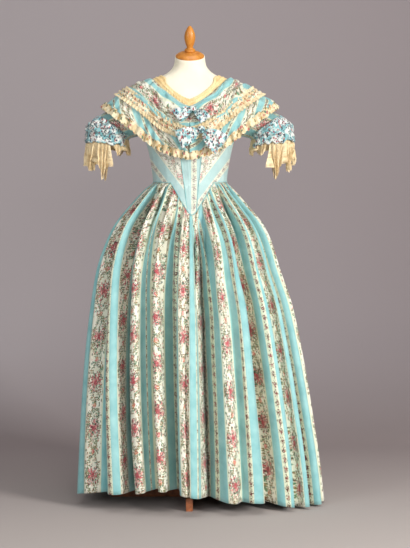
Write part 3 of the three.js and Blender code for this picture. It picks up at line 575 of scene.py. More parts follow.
# ---- Bodice ----------------------------------------------------------------------------------------------
# Seven boned silk pieces over a stiff lining: a front centre whose seams run to the point, two fronts cut on
# the slant, two side backs, and two backs that meet at the centre back. The seams and the waist are piped.
FORM_GAP = 0.0009
SILK_OUT = FORM_GAP + SILK_WALL + 0.0008
BONE, PUCKER = 0.0005, 0.0007
WAIST_Z, POINT_Z, POINT_X, POINT_HALF, TIP_ROUND, BACK_DIP = 1.040, 0.918, 0.008, 0.068, 0.010, 0.018
NECK_FRONT_Z, NECK_BACK_Z, NECK_SHOULDER_Z, NECK_HALF = 1.283, 1.328, 1.377, 0.121
ARMHOLE_Z, ARMHOLE_HALF = 1.252, 0.050


def waist_height(x, front):
    reach = np.minimum(1, np.hypot(x - POINT_X, TIP_ROUND) / np.hypot(POINT_HALF, TIP_ROUND))
    pointed = POINT_Z + (WAIST_Z - 0.006 - POINT_Z) * reach**1.08 + 0.006 * np.minimum(1, np.abs(x) / 0.115)
    return np.where(front, pointed, WAIST_Z - BACK_DIP * np.maximum(0, 1 - np.abs(x) / 0.110))


def neck_height(x, front):
    share = np.minimum(1, np.abs(x) / NECK_HALF)
    return np.where(front, NECK_FRONT_Z + (NECK_SHOULDER_Z - NECK_FRONT_Z) * share**1.35,
                    NECK_BACK_Z + (NECK_SHOULDER_Z - NECK_BACK_Z) * share**1.6)


def height_on(line, angle, low, high):
    """The height at which a line drawn across the torso meets each angle of it."""
    angle = np.asarray(angle, float)
    a, b = np.full(angle.shape, low), np.full(angle.shape, high)
    for _ in range(34):
        z = (a + b) / 2
        under = z < line(torso_place(angle, z)[..., 0], np.cos(angle) > 0)
        a, b = np.where(under, z, a), np.where(under, b, z)
    return (a + b) / 2


def seam_z(angle):
    return height_on(waist_height, angle, 0.880, 1.080)


def neckline_z(angle):
    return height_on(neck_height, angle, 1.240, 1.380)


def front_seam(z, side):
    share = (z - 0.890) / (1.400 - 0.890)
    return mix(POINT_X + side * 0.008, side * 0.062, share)


def back_seam(z, side):
    return side * mix(0.040, 0.104, np.clip((z - 1.000) / (1.270 - 1.000), 0, 1))


def seam_angle(x, z, front):
    lean = np.arcsin(np.clip(x / smooth_row(TORSO, "z", z)["half"], -1, 1))
    return lean if front else np.pi - lean


def side_angle(z, side):
    return side * np.pi / 2 + 0 * z


BODICE_STRIPE, BODICE_SCALE = math.radians(37), 1.25
STRIPE_X, STRIPE_Z, PLAIN_STRIPE = 0.094, 1.093, 0.337


def bodice_panel(name, first, second, uv_of, flat, area):
    """A piece of the bodice between two seams, from the waist to the neck, with the armhole cut out."""
    rows, columns = 60, 50
    up, over = np.linspace(1, 0, rows)[:, None], np.linspace(0, 1, columns)[None, :]
    angle = mix(first(np.full((rows, 1), 1.1)), second(np.full((rows, 1), 1.1)), over)
    for _ in range(12):
        z = mix(seam_z(angle), neckline_z(angle), up)
        angle = mix(first(z), second(z), over)
    z = mix(seam_z(angle), neckline_z(angle), up)
    bones = BONE * np.maximum(0, np.cos(over * np.pi * 6)) ** 6
    puckers = PUCKER * ripple(5 + len(name), z * 60, angle * 3, low=0.6, high=2.2)
    points = torso_point(angle, z, SILK_OUT + bones + puckers)
    piece = grid_mesh(name + "_silk", points, uv_of(points), wall=SILK_WALL)
    shape = bmesh.new()
    shape.from_mesh(piece.data)
    inside = [f for f in shape.faces if armhole_reach(f.calc_center_median()) < ARMHOLE_HALF]
    bmesh.ops.delete(shape, geom=inside, context="FACES")
    for vertex in shape.verts:
        reach = armhole_reach(vertex.co)
        if reach < ARMHOLE_HALF:
            grow = ARMHOLE_HALF / max(reach, 1e-6)
            vertex.co.y = AXIS[1] + (vertex.co.y - AXIS[1]) * grow
            vertex.co.z = ARMHOLE_Z + (vertex.co.z - ARMHOLE_Z) * grow
    shape.to_mesh(piece.data)
    shape.free()
    finish_piece(piece, bodice_silk, "silk", name)


def armhole_reach(place):
    return math.hypot(place.y - AXIS[1], place.z - ARMHOLE_Z)


def upright_silk(offset):
    """Stripes that run straight up, with one place of the repeat at the gown's middle."""
    def uv(points):
        return np.stack([offset + points[..., 0] / REPEAT, points[..., 2]], -1)
    return uv


def slanted_silk(side):
    """Stripes that run down to the point, with a plain one through the middle of the front."""
    def uv(points):
        x, z = points[..., 0] * side - STRIPE_X, points[..., 2] - STRIPE_Z
        outward = x * math.cos(BODICE_STRIPE) - z * math.sin(BODICE_STRIPE)
        upward = x * math.sin(BODICE_STRIPE) + z * math.cos(BODICE_STRIPE)
        return np.stack([PLAIN_STRIPE + outward * BODICE_SCALE / REPEAT, upward * BODICE_SCALE], -1)
    return uv


def seam(line, side, front):
    return lambda z: seam_angle(line(z, side), z, front)


# The cut of each kind of piece, width by length, and its area once it is shaped.
CENTRE_CUT, FRONT_CUT = ((0.12, 0.40), 0.030), ((0.20, 0.38), 0.050)
SIDE_BACK_CUT, BACK_CUT = ((0.16, 0.34), 0.040), ((0.12, 0.33), 0.030)
SIDES = ((1, "left"), (-1, "right"))
bodice_panel("bodice_front_centre", seam(front_seam, -1, True), seam(front_seam, 1, True),
             upright_silk(0.41), *CENTRE_CUT)
bodice_panel("bodice_front_left", seam(front_seam, 1, True), lambda z: side_angle(z, 1),
             slanted_silk(1), *FRONT_CUT)
bodice_panel("bodice_front_right", lambda z: side_angle(z, -1), seam(front_seam, -1, True),
             slanted_silk(-1), *FRONT_CUT)
for side, word in SIDES:
    ends = [lambda z: side_angle(z, side), seam(back_seam, side, False), lambda z: np.pi + 0 * z]
    if side < 0:
        ends = [lambda z: side_angle(z, side) + 2 * np.pi, *ends[1:]]
    outer, inner = (ends[0], ends[1]) if side > 0 else (ends[1], ends[0])
    bodice_panel(f"bodice_side_back_{word}", outer, inner, upright_silk(0.0), *SIDE_BACK_CUT)
    first, second = (ends[1], ends[2]) if side > 0 else (ends[2], ends[1])
    bodice_panel(f"bodice_back_{word}", first, second, upright_silk(0.34), *BACK_CUT)


def cord_group():
    """A cord along each line of a piece of loose edges."""
    tree = bpy.data.node_groups.new("cord_along_lines", "GeometryNodeTree")
    tree.interface.new_socket("Lines", in_out="INPUT", socket_type="NodeSocketGeometry")
    tree.interface.new_socket("Cord radius", in_out="INPUT", socket_type="NodeSocketFloat")
    tree.interface.new_socket("Cover", in_out="INPUT", socket_type="NodeSocketMaterial")
    tree.interface.new_socket("Cords", in_out="OUTPUT", socket_type="NodeSocketGeometry")
    given, made = tree.nodes.new("NodeGroupInput"), tree.nodes.new("NodeGroupOutput")
    lines = tree.nodes.new("GeometryNodeMeshToCurve")
    section = tree.nodes.new("GeometryNodeCurvePrimitiveCircle")
    section.inputs["Resolution"].default_value = 8
    swept = tree.nodes.new("GeometryNodeCurveToMesh")
    whole = tree.nodes.new("GeometryNodeRealizeInstances")
    cover = tree.nodes.new("GeometryNodeSetMaterial")
    joins = [(given.outputs["Lines"], lines.inputs["Mesh"]),
             (lines.outputs["Curve"], swept.inputs["Curve"]),
             (given.outputs["Cord radius"], section.inputs["Radius"]),
             (section.outputs["Curve"], swept.inputs["Profile Curve"]),
             (swept.outputs["Mesh"], whole.inputs["Geometry"]),
             (whole.outputs["Geometry"], cover.inputs["Geometry"]),
             (given.outputs["Cover"], cover.inputs["Material"]),
             (cover.outputs["Geometry"], made.inputs["Cords"])]
    for start, end in joins:
        tree.links.new(start, end)
    return tree


CORD_RADIUS, CORD_STEPS = 0.0013, 90
piping_silk, tree, shader, places = new_material("piping_taffeta", 0.4, sheen=0.25)
worn = noise(tree, places.outputs["Object"], 60.0, 3.0).spread(0.35, 0.7)
tree.links.new(blend_colour(tree, worn, TURQUOISE, DEEP_TURQUOISE), shader.inputs["Base Color"])
bump(tree, shader, weave(tree, places.outputs["Object"], SILK_THREADS), 0.0006, 0.5)
cord_lift = FORM_GAP + 2 * SILK_WALL + CORD_RADIUS * 0.5
round_waist = np.linspace(0, 2 * np.pi, 4 * CORD_STEPS, endpoint=False)
cords = [torso_point(round_waist, seam_z(round_waist) + CORD_RADIUS, cord_lift)]
for line, side, front, low, high in ((front_seam, -1, True, 0.93, 1.29), (front_seam, 1, True, 0.93, 1.29),
                                     (back_seam, -1, False, 1.03, 1.32), (back_seam, 1, False, 1.03, 1.32)):
    cord_z = np.linspace(low, high, CORD_STEPS)
    cord_angle = seam(line, side, front)(cord_z)
    inside_edge = (cord_z > seam_z(cord_angle)) & (cord_z < neckline_z(cord_angle))
    cords.append(torso_point(cord_angle, cord_z, cord_lift)[inside_edge])
corners = np.concatenate(cords) + AXIS
edges, start = [], 0
for cord in cords:
    edges += [(start + i, start + i + 1) for i in range(len(cord) - 1)]
    start += len(cord)
edges.append((len(cords[0]) - 1, 0))
piping_mesh = bpy.data.meshes.new("bodice_piping")
piping_mesh.from_pydata(corners.tolist(), edges, [])
piping = in_scene("bodice_piping", piping_mesh)
follow = piping.modifiers.new("cords", "NODES")
follow.node_group = cord_group()
named = {item.name: item.identifier for item in follow.node_group.interface.items_tree}
follow[named["Cord radius"]] = CORD_RADIUS
follow[named["Cover"]] = piping_silk
swept_mesh = bpy.data.meshes.new_from_object(piping.evaluated_get(bpy.context.evaluated_depsgraph_get()))
piping.modifiers.clear()
piping.data = swept_mesh
piping.data.polygons.foreach_set("use_smooth", np.ones(len(piping.data.polygons), bool))
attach(piping, "root")

# ---- Skirt -----------------------------------------------------------------------------------------------
# Six straight widths of silk, sewn selvedge to selvedge, gathered tightly to the waist over stiff petticoats,
# so that the gathers open into some two dozen deep folds.
REPEATS, MIDDLE_REPEAT, PLEATS_PER_PANEL, PLEAT_FINE = 24, 4.6, 4, 28
DOME = table("drop left right front back wide", [
    (0.000, 0.000, 0.000, 0.000, 0.000, 0.000), (0.020, 0.022, 0.026, 0.012, 0.028, 0.000),
    (0.070, 0.066, 0.073, 0.044, 0.086, 0.006), (0.135, 0.119, 0.126, 0.084, 0.142, 0.018),
    (0.200, 0.150, 0.158, 0.120, 0.182, 0.032), (0.280, 0.174, 0.184, 0.152, 0.218, 0.048),
    (0.390, 0.211, 0.201, 0.184, 0.258, 0.068), (0.560, 0.246, 0.219, 0.210, 0.296, 0.092),
    (0.720, 0.274, 0.230, 0.226, 0.316, 0.108), (0.900, 0.302, 0.238, 0.238, 0.328, 0.118),
    (1.035, 0.316, 0.243, 0.242, 0.335, 0.120)])
HEM = table("angle z", [
    (-90, 0.030), (-60, 0.052), (-30, 0.062), (-15, 0.076), (0, 0.061), (16, 0.040), (30, 0.035), (50, 0.013),
    (75, 0.007), (120, 0.007), (180, 0.007), (240, 0.010), (270, 0.030)])
# Crest of each deep fold: its place on the silk in repeats, where it stands round the hem in degrees, how far
# its silk leans to one side, and how full it is.
FOLDS = table("repeat hem lean full", [
    (-0.25, -66.0, 0.2, 0.9), (0.70, -42.0, -0.3, 1.3), (2.05, -24.6, 0.5, 0.8), (3.12, -14.0, 0.1, 1.1),
    (4.15, -2.2, -0.1, 0.3), (4.65, 1.4, 0.1, 1.2), (5.85, 18.5, 0.1, 0.6), (6.65, 29.0, -0.4, 1.2),
    (7.7, 48.5, 0.3, 0.7), (8.5, 60.0, 0.1, 1.1), (9.4, 74.5, -0.2, 1.0), (10.5, 91, 0.3, 0.9),
    (11.35, 104, -0.1, 1.1), (12.5, 120, 0.4, 1.0), (13.6, 135, -0.3, 0.9), (14.4, 146, 0.2, 1.1),
    (15.6, 162, 0.0, 1.0), (16.7, 177, -0.4, 0.9), (17.6, 190, 0.3, 1.1), (18.8, 207, -0.2, 1.0),
    (19.9, 223, 0.4, 0.9), (20.8, 237, -0.1, 1.1), (21.95, 256, 0.2, 1.0), (22.9, 273, -0.3, 0.9)])
GATHER_FADE, SLIT_FADE, STEEPEST = 0.17, 0.21, 1.72
# How deep the tight pleats below the waist and the valleys of the folds are, as shares of the silk in a fold.
SLIT_DEPTH, VALLEY_DEPTH = 0.30, 0.15
SLIT_WIDTH, VALLEY_WIDTH = 0.055, 0.07
FOLD_STEPS, SWAY, LEAST_REACH = 96, 0.0022, 1.015
HALF_DEGREES = np.arange(721) / 2


def skirt_base(angle, share):
    """The skirt's smooth dome: a point at an angle and a share of the way to the hem, and its drop."""
    degrees = (np.degrees(angle) + 450) % 360 - 90
    top = seam_z(angle) - 0.0012
    drop = share * (top - smooth_row(HEM, "angle", degrees)["z"])
    grow = smooth_row(DOME, "drop", drop)
    point = torso_point(angle, top, SILK_OUT)
    point[..., 0] += np.where(np.sin(angle) > 0, grow["left"], grow["right"]) * np.sin(angle)
    point[..., 1] -= np.where(np.cos(angle) > 0, grow["front"], grow["back"]) * np.cos(angle)
    point[..., 1] -= grow["wide"] * (1 - np.abs(np.cos(angle)))
    point[..., 2] = top - drop
    return point, drop


def fold_profile(silk, span, drop, lean):
    """How far along the skirt and how deep the silk of one fold lies, at even steps of the silk."""
    gathers = math.exp(-drop / GATHER_FADE)
    p = (np.arange(FOLD_STEPS) + 0.5) / FOLD_STEPS
    warped = p + lean * (1 - gathers) * np.sin(2 * np.pi * p) / (2 * np.pi)
    wave = (1 - gathers) * np.sin(2 * np.pi * warped) + gathers * np.sin(4 * np.pi * p)
    low, high = 0.0, STEEPEST
    for _ in range(26):
        middle = (low + high) / 2
        low, high = (middle, high) if np.cos(middle * wave).mean() * silk > span else (low, middle)
    along = np.concatenate([[0], np.cumsum(np.cos(low * wave))]) / FOLD_STEPS
    deep = np.concatenate([[0], np.cumsum(np.sin(low * wave))]) / FOLD_STEPS
    even = np.linspace(0, 1, FOLD_STEPS + 1)
    along *= span / along[-1]
    deep = (deep - deep[-1] * even) * silk
    slits = np.exp(-(((even - 0.25) / SLIT_WIDTH) ** 2)) + 0.8 * np.exp(-(((even - 0.75) / SLIT_WIDTH) ** 2))
    valley = np.exp(-(((even - 0.5 - 0.06 * lean) / VALLEY_WIDTH) ** 2))
    slits = slits * math.exp(-((drop / SLIT_FADE) ** 2))
    deep = deep + silk * (SLIT_DEPTH * slits + VALLEY_DEPTH * (1 - gathers) * valley)
    steps = np.linspace(0, 1, PLEAT_FINE + 1)[:-1]
    return np.interp(steps, even, along), np.interp(steps, even, deep)


def skirt_row(share):
    """One level of the folded skirt: its points, the dome's points behind them, and the place on the silk."""
    angles = np.radians(FOLDS["hem"][0] + HALF_DEGREES)
    line, drops = skirt_base(angles, share)
    along = np.concatenate([[0], np.cumsum(np.linalg.norm(np.diff(line[:, :2], axis=0), axis=1))])
    total = along[-1]

    def crest(i):
        turn, j = divmod(i, len(FOLDS["hem"]))
        at_waist = (FOLDS["repeat"][j] - MIDDLE_REPEAT) * 360 / REPEATS
        angle = mix(at_waist, FOLDS["hem"][j], share) - FOLDS["hem"][0]
        distance = np.interp(angle % 360, HALF_DEGREES, along) - (total if angle < 0 else 0)
        return distance + turn * total, (FOLDS["repeat"][j] + turn * REPEATS)

    spots, depths, silk, drops_at = [], [], [], []
    for i in range(len(FOLDS["hem"])):
        (start, first), (end, last) = crest(i), crest(i + 1)
        drop = np.interp(((start + end) / 2) % total, along, drops)
        over, deep = fold_profile((last - first) * REPEAT, end - start, drop, FOLDS["lean"][i])
        spots.append(start + over)
        depths.append(deep * FOLDS["full"][i] * smoothstep(drop, 0, 0.020 + 0.012 * FOLDS["full"][i]))
        silk.append(first + (last - first) * np.arange(PLEAT_FINE) / PLEAT_FINE)
        drops_at.append(np.full(PLEAT_FINE, drop))
    spots, depths, silk = np.concatenate(spots), np.concatenate(depths), np.concatenate(silk)
    wrapped = spots % total
    place = np.stack([np.interp(wrapped, along, line[:, axis]) for axis in range(3)], -1)
    ahead = np.stack([np.interp((wrapped + 0.004) % total, along, line[:, axis]) for axis in range(2)], -1)
    behind = np.stack([np.interp((wrapped - 0.004) % total, along, line[:, axis]) for axis in range(2)], -1)
    direction = unit(ahead - behind)
    inward = np.stack([-direction[:, 1], direction[:, 0], 0 * wrapped], -1)
    return place + inward * depths[:, None], place, silk


SKIRT_ROWS = 86
shares = np.linspace(0, 1, SKIRT_ROWS) ** 1.35
made_rows = [skirt_row(share) for share in shares]
skirt = np.stack([row[0] for row in made_rows])
skirt_lines = np.stack([row[1] for row in made_rows])
silk_across = made_rows[0][2]
steps_down = np.linalg.norm(np.diff(skirt_lines, axis=0), axis=-1)
lengths = np.concatenate([np.zeros((1, skirt.shape[1])), np.cumsum(steps_down, axis=0)])
from_hem = lengths[-1] - lengths
turn_about = np.linspace(0, 2 * np.pi, skirt.shape[1], endpoint=False)
unevenness = ripple(31, 40 * np.cos(turn_about) + 0 * from_hem, 40 * np.sin(turn_about) + from_hem * 9,
                    9, 0.5, 1.3)
off_waist = smoothstep(1 - from_hem, -0.1, 0.35)
skirt = skirt + grid_normals(skirt, True) * (SWAY * unevenness * off_waist)[..., None]
body = smooth_row(TORSO, "z", np.clip(skirt[..., 2], 0.79, 1.2))
depth = np.where(skirt[..., 1] < 0, body["front"], body["back"])
reach = np.sqrt((skirt[..., 0] / body["half"]) ** 2 + (skirt[..., 1] / depth) ** 2)
push = np.where((reach < LEAST_REACH) & (skirt[..., 2] > 0.76), LEAST_REACH / np.maximum(reach, 0.1), 1.0)
skirt[..., :2] *= push[..., None]

# Where the stripes lie over the front of the skirt: how far aside, seen from in front a little above the hem,
# and the place on the silk there, in repeats. Between two rows that are close together the silk is in a fold.
STRIPES = table("aside repeat", [
    (-0.383, -0.50), (-0.343, -0.22), (-0.294, 0.22), (-0.274, 0.45), (-0.251, 0.55), (-0.234, 0.78),
    (-0.212, 1.05), (-0.210, 1.78), (-0.152, 2.22), (-0.137, 2.44), (-0.135, 2.78), (-0.073, 3.22),
    (-0.053, 3.45), (-0.038, 3.55), (-0.036, 3.76), (0.003, 4.22), (0.028, 4.48), (0.030, 4.78),
    (0.066, 5.22), (0.076, 5.45), (0.091, 5.55), (0.119, 5.78), (0.165, 6.22), (0.185, 6.45),
    (0.201, 6.55), (0.231, 6.78), (0.271, 7.22), (0.294, 7.45), (0.313, 7.55), (0.335, 7.78),
    (0.357, 8.20), (0.370, 8.45), (0.389, 8.55), (0.416, 8.78), (0.445, 9.10)])
STRIPES_HEIGHT = 0.22


def front_columns(level):
    """How far aside each column of the skirt is seen from in front, and whether nothing hides it."""
    sight = (level[:, 0] - CAMERA_ASIDE) / (level[:, 1] + CAMERA_BACK)
    step, deeper = np.roll(sight, -1) - sight, np.roll(level[:, 1], -1) - level[:, 1]
    share = (sight[:, None] - sight[None]) / np.where(np.abs(step) < 1e-9, 1e-9, step)[None]
    in_front = level[None, :, 1] + share * deeper[None] < level[:, 1][:, None] - 0.0002
    hidden = ((share > 0) & (share < 1) & in_front).any(axis=1)
    return CAMERA_ASIDE + sight * CAMERA_BACK, ~hidden


stripes_row = int(np.argmin(np.abs(skirt[..., 2].mean(axis=1) - STRIPES_HEIGHT)))
aside, seen = front_columns(skirt[stripes_row])
known = silk_across[seen]
laid = np.interp(aside[seen], STRIPES["aside"], STRIPES["repeat"]) + REPEATS * (known > REPEATS / 2)
known = np.concatenate([known - REPEATS, known, known + REPEATS])
laid = np.maximum.accumulate(np.concatenate([laid - REPEATS, laid, laid + REPEATS]))
drawn_in = np.interp(silk_across, known, laid)
apart = (silk_across[:, None] - silk_across[None] + REPEATS / 2) % REPEATS - REPEATS / 2
near = np.exp(-((apart / 0.5) ** 2))
even_shift = near @ (drawn_in - silk_across) / near.sum(axis=1)
silk_across = mix(drawn_in, silk_across + even_shift, 0.3)

columns = skirt.shape[1]
per_panel = PLEATS_PER_PANEL * PLEAT_FINE
first_column = PLEAT_FINE + PLEAT_FINE // 2
SKIRT_PANELS = ["skirt_front", "skirt_side_front_left", "skirt_side_back_left",
                "skirt_back", "skirt_side_back_right", "skirt_side_front_right"]
for index, name in enumerate(SKIRT_PANELS):
    picked = first_column + index * per_panel + np.arange(per_panel + 1)
    across = silk_across[picked % columns] + REPEATS * (picked // columns)
    above_hem = from_hem[:, picked % columns]
    uv = np.stack([np.broadcast_to(across, above_hem.shape), above_hem], -1)
    panel = grid_mesh(name + "_width", skirt[:, picked % columns], uv, wall=SILK_WALL)
    finish_piece(panel, gown_silk, "silk", name)

# ---- Neck edging -----------------------------------------------------------------------------------------
# A band of cream bobbin lace with a drawn cord through its casing, gathered a little and tacked inside the
# neck.
LACE_WALL, LACE_MESH = 0.0005, 0.0052
EDGING_LENGTH, EDGING_WIDTH, EDGING_LIFT = 0.86, 0.025, 0.0024


def lace_material(name, thread, ground, open_share, lines=()):
    """Bobbin lace: a net with denser sprigs. The map gives metres along and metres from the upper edge, and
    each of the lines is a solid stretch between two distances from that edge."""
    material, tree, shader, places = new_material(name, 0.9, sheen=0.1)
    split = tree.nodes.new("ShaderNodeSeparateXYZ")
    tree.links.new(places.outputs["UV"], split.inputs[0])
    along, down = Field(tree, split.outputs[0]), Field(tree, split.outputs[1])
    mesh = 2 * math.pi / LACE_MESH
    net = (along * mesh + down * mesh * 0.6).then("SINE").then("ABSOLUTE")
    net_crossed = (along * mesh - down * mesh * 0.6).then("SINE").then("ABSOLUTE")
    holes = net.then("MULTIPLY", net_crossed).above(open_share)
    sprigs = noise(tree, places.outputs["UV"], 95.0, 3.0, 0.6)
    solid = sprigs.above(0.5)
    for low, high in lines:
        solid = solid.then("MAXIMUM", down.above(low) * down.below(high))
    alpha = (1.0 - holes).then("MAXIMUM", solid)
    tree.links.new(alpha.socket, shader.inputs["Alpha"])
    worn = noise(tree, places.outputs["Object"], 26.0, 4.0).spread(0.35, 0.7)
    colour = blend_colour(tree, worn, thread, ground)
    colour = blend_colour(tree, solid * 0.5, colour, thread)
    tree.links.new(colour, shader.inputs["Base Color"])
    bump(tree, shader, sprigs + net * net_crossed * 0.3, 0.002, 0.7)
    return material


CREAM_THREAD, TAN_THREAD = dye(240, 216, 164), dye(214, 172, 108)
neck_lace = lace_material("neck_lace", CREAM_THREAD, TAN_THREAD, 0.8,
                          lines=[(0.0, 0.003), (0.011, 0.015), (0.022, 0.03)])
round_neck = np.linspace(0, 2 * np.pi, 600, endpoint=False)
neck_z = neckline_z(round_neck)
STEP_UP = 0.004
step_up = torso_point(round_neck, neck_z) - torso_point(round_neck, neck_z + STEP_UP)
steep = np.linalg.norm(step_up, axis=-1) / STEP_UP
edging_down = np.linspace(0, 1, 11)[:, None]
edging_height = neck_z + mix(EDGING_WIDTH, 0.0004, edging_down) / steep
frill = np.sin(round_neck * 118 + 2 * ripple(3, 9 * round_neck, 0)) * (0.25 + 0.75 * edging_down**2)
casing = np.exp(-(((edging_down - 0.5) / 0.1) ** 2)) + np.exp(-(((edging_down - 0.06) / 0.06) ** 2))
edging_height = edging_height + 0.0022 * np.abs(np.sin(round_neck * 59)) ** 0.6 * (1 - edging_down) ** 3
edging_out = EDGING_LIFT + 0.0014 * frill + 0.0024 * casing
edging_points = torso_point(round_neck + 0 * edging_height, edging_height, edging_out)
edging_uv = np.stack(np.broadcast_arrays(np.linspace(0, EDGING_LENGTH, 601), edging_down * EDGING_WIDTH), -1)
edging = grid_mesh("neck_edging_lace", edging_points, edging_uv, around=True, wall=LACE_WALL)
finish_piece(edging, neck_lace, "lace", "neck_edging")

# ---- Bertha ----------------------------------------------------------------------------------------------
# A deep folded collar over the shoulders: silk laid in soft folds from the neck, a ruched band of silk and
# lace stitched over its edge, and a flounce below with a scalloped edge. It opens at the centre back.
NECK_LIFT = 0.0031
CAPE = table("angle x y z bulge", [
    (0, 0, -0.152, 1.112, 0.024), (20, 0.075, -0.141, 1.132, 0.024), (35, 0.130, -0.126, 1.162, 0.022),
    (50, 0.192, -0.112, 1.212, 0.018), (70, 0.258, -0.084, 1.260, 0.014), (90, 0.291, 0, 1.286, 0.012),
    (110, 0.256, 0.080, 1.262, 0.014), (130, 0.188, 0.112, 1.218, 0.016), (155, 0.092, 0.132, 1.172, 0.018),
    (180, 0, 0.142, 1.160, 0.018)])


def cape_surface(degrees, w):
    """Points of the collar's own surface and their outward directions, on the wearer's left."""
    degrees, w = np.atleast_1d(np.asarray(degrees, float)), np.asarray(w, float)[:, None]

    def ends(turn):
        row = smooth_row(CAPE, "angle", turn)
        neck = torso_point(np.radians(turn), neckline_z(np.radians(turn)), NECK_LIFT)
        return neck, np.stack([row["x"], row["y"], row["z"]], -1)

    def straight(turn, share):
        neck, edge = ends(turn)
        return mix(neck[None], edge[None], share[..., None])

    across = straight(np.minimum(degrees + 1, 180), w) - straight(np.maximum(degrees - 1, 0), w)
    down = straight(degrees, np.minimum(w + 0.02, 1)) - straight(degrees, np.maximum(w - 0.02, 0))
    out = unit(np.cross(down, across))
    at_middle = (degrees == 0) | (degrees == 180)
    out[..., 0] = np.where(at_middle, 0, out[..., 0])
    out = unit(out)
    bulge = smooth_row(CAPE, "angle", degrees)["bulge"]
    points = straight(degrees, w) + out * (4 * bulge * w * (1 - w))[..., None]
    points[..., 0] = np.maximum(points[..., 0], 0.0003 * np.abs(np.cos(np.radians(degrees))))
    return points, out


def collar_piece(name, side, low, high, rows, columns, height_of, uv_of, wall=SILK_WALL, sag_of=None):
    """A strip of the collar between two shares of its depth, with its own unevenness and map."""
    degrees, w = np.linspace(0, 180, columns), np.linspace(low, high, rows)
    points, out = cape_surface(degrees, w)
    span = np.linalg.norm(np.diff(points, axis=1), axis=-1).mean(0)
    along = np.concatenate([[0], np.cumsum(span)])
    t = ((w - low) / (high - low))[:, None]
    grid_along, grid_t = np.broadcast_arrays(along[None], t)
    points = points + out * height_of(grid_along, grid_t, degrees[None])[..., None]
    if sag_of is not None:
        points[..., 2] -= sag_of(grid_along, grid_t, degrees[None])
    down = np.linalg.norm(np.diff(points, axis=0), axis=-1).mean(1)
    depth = np.concatenate([[0], np.cumsum(down)])[:, None] + 0 * grid_t
    uv = uv_of(grid_along, depth, grid_t)
    points[..., 0] *= side
    if side < 0:
        points, uv = points[:, ::-1], uv[:, ::-1]
    return grid_mesh(name, points, uv, wall=wall)


def pair(first, second):
    return np.stack(np.broadcast_arrays(first, second), -1)


def plain_map(along, depth, t):
    """A map of the cloth in metres along it and down it."""
    return pair(along, depth)


def bulges(seed, u, v):
    """Crushed cloth: soft bulges between sharp valleys, about a mean of zero."""
    return np.abs(ripple(seed, u, v, 6, 0.7, 1.5)) - 0.4


def ridge(phase, sharpness=0.7):
    """Rounded ridges with sharp valleys between them, one for each whole number."""
    return np.abs(np.sin(np.pi * phase)) ** sharpness


def figured_silk(name, grounds, marks, cell, share, crinkle, roughness=0.5):
    """Silk with a small broken figure in many threads, on a ground that shades from one tone to another."""
    material, tree, shader, places = new_material(name, roughness, sheen=0.2)
    place = places.outputs["Object"]
    squeeze = tree.nodes.new("ShaderNodeMapping")
    squeeze.inputs["Scale"].default_value = (1.0, 1.0, 0.6)
    squeeze.inputs["Rotation"].default_value = (0.0, 0.5, 0.0)
    tree.links.new(place, squeeze.inputs["Vector"])
    patches = noise(tree, place, 52.0, 2.0)
    near, drawn = cells(tree, squeeze.outputs["Vector"], 1 / cell)
    strokes = noise(tree, place, 1.3 / cell, 2.0)
    colour = blend_colour(tree, patches.spread(0.45, 0.55), *grounds)
    marked = near.below(0.56) * strokes.above(0.42) * drawn.above(1 - share)
    colour = blend_colour(tree, marked, colour, threads_of(tree, (drawn - (1 - share)) * (1 / share), marks))
    tree.links.new(colour, shader.inputs["Base Color"])
    creases = noise(tree, place, 120.0, 3.0, 0.6)
    bump(tree, shader, creases + marked * 0.08 + weave(tree, place, SILK_THREADS) * 0.1, 0.004, crinkle)
    return material


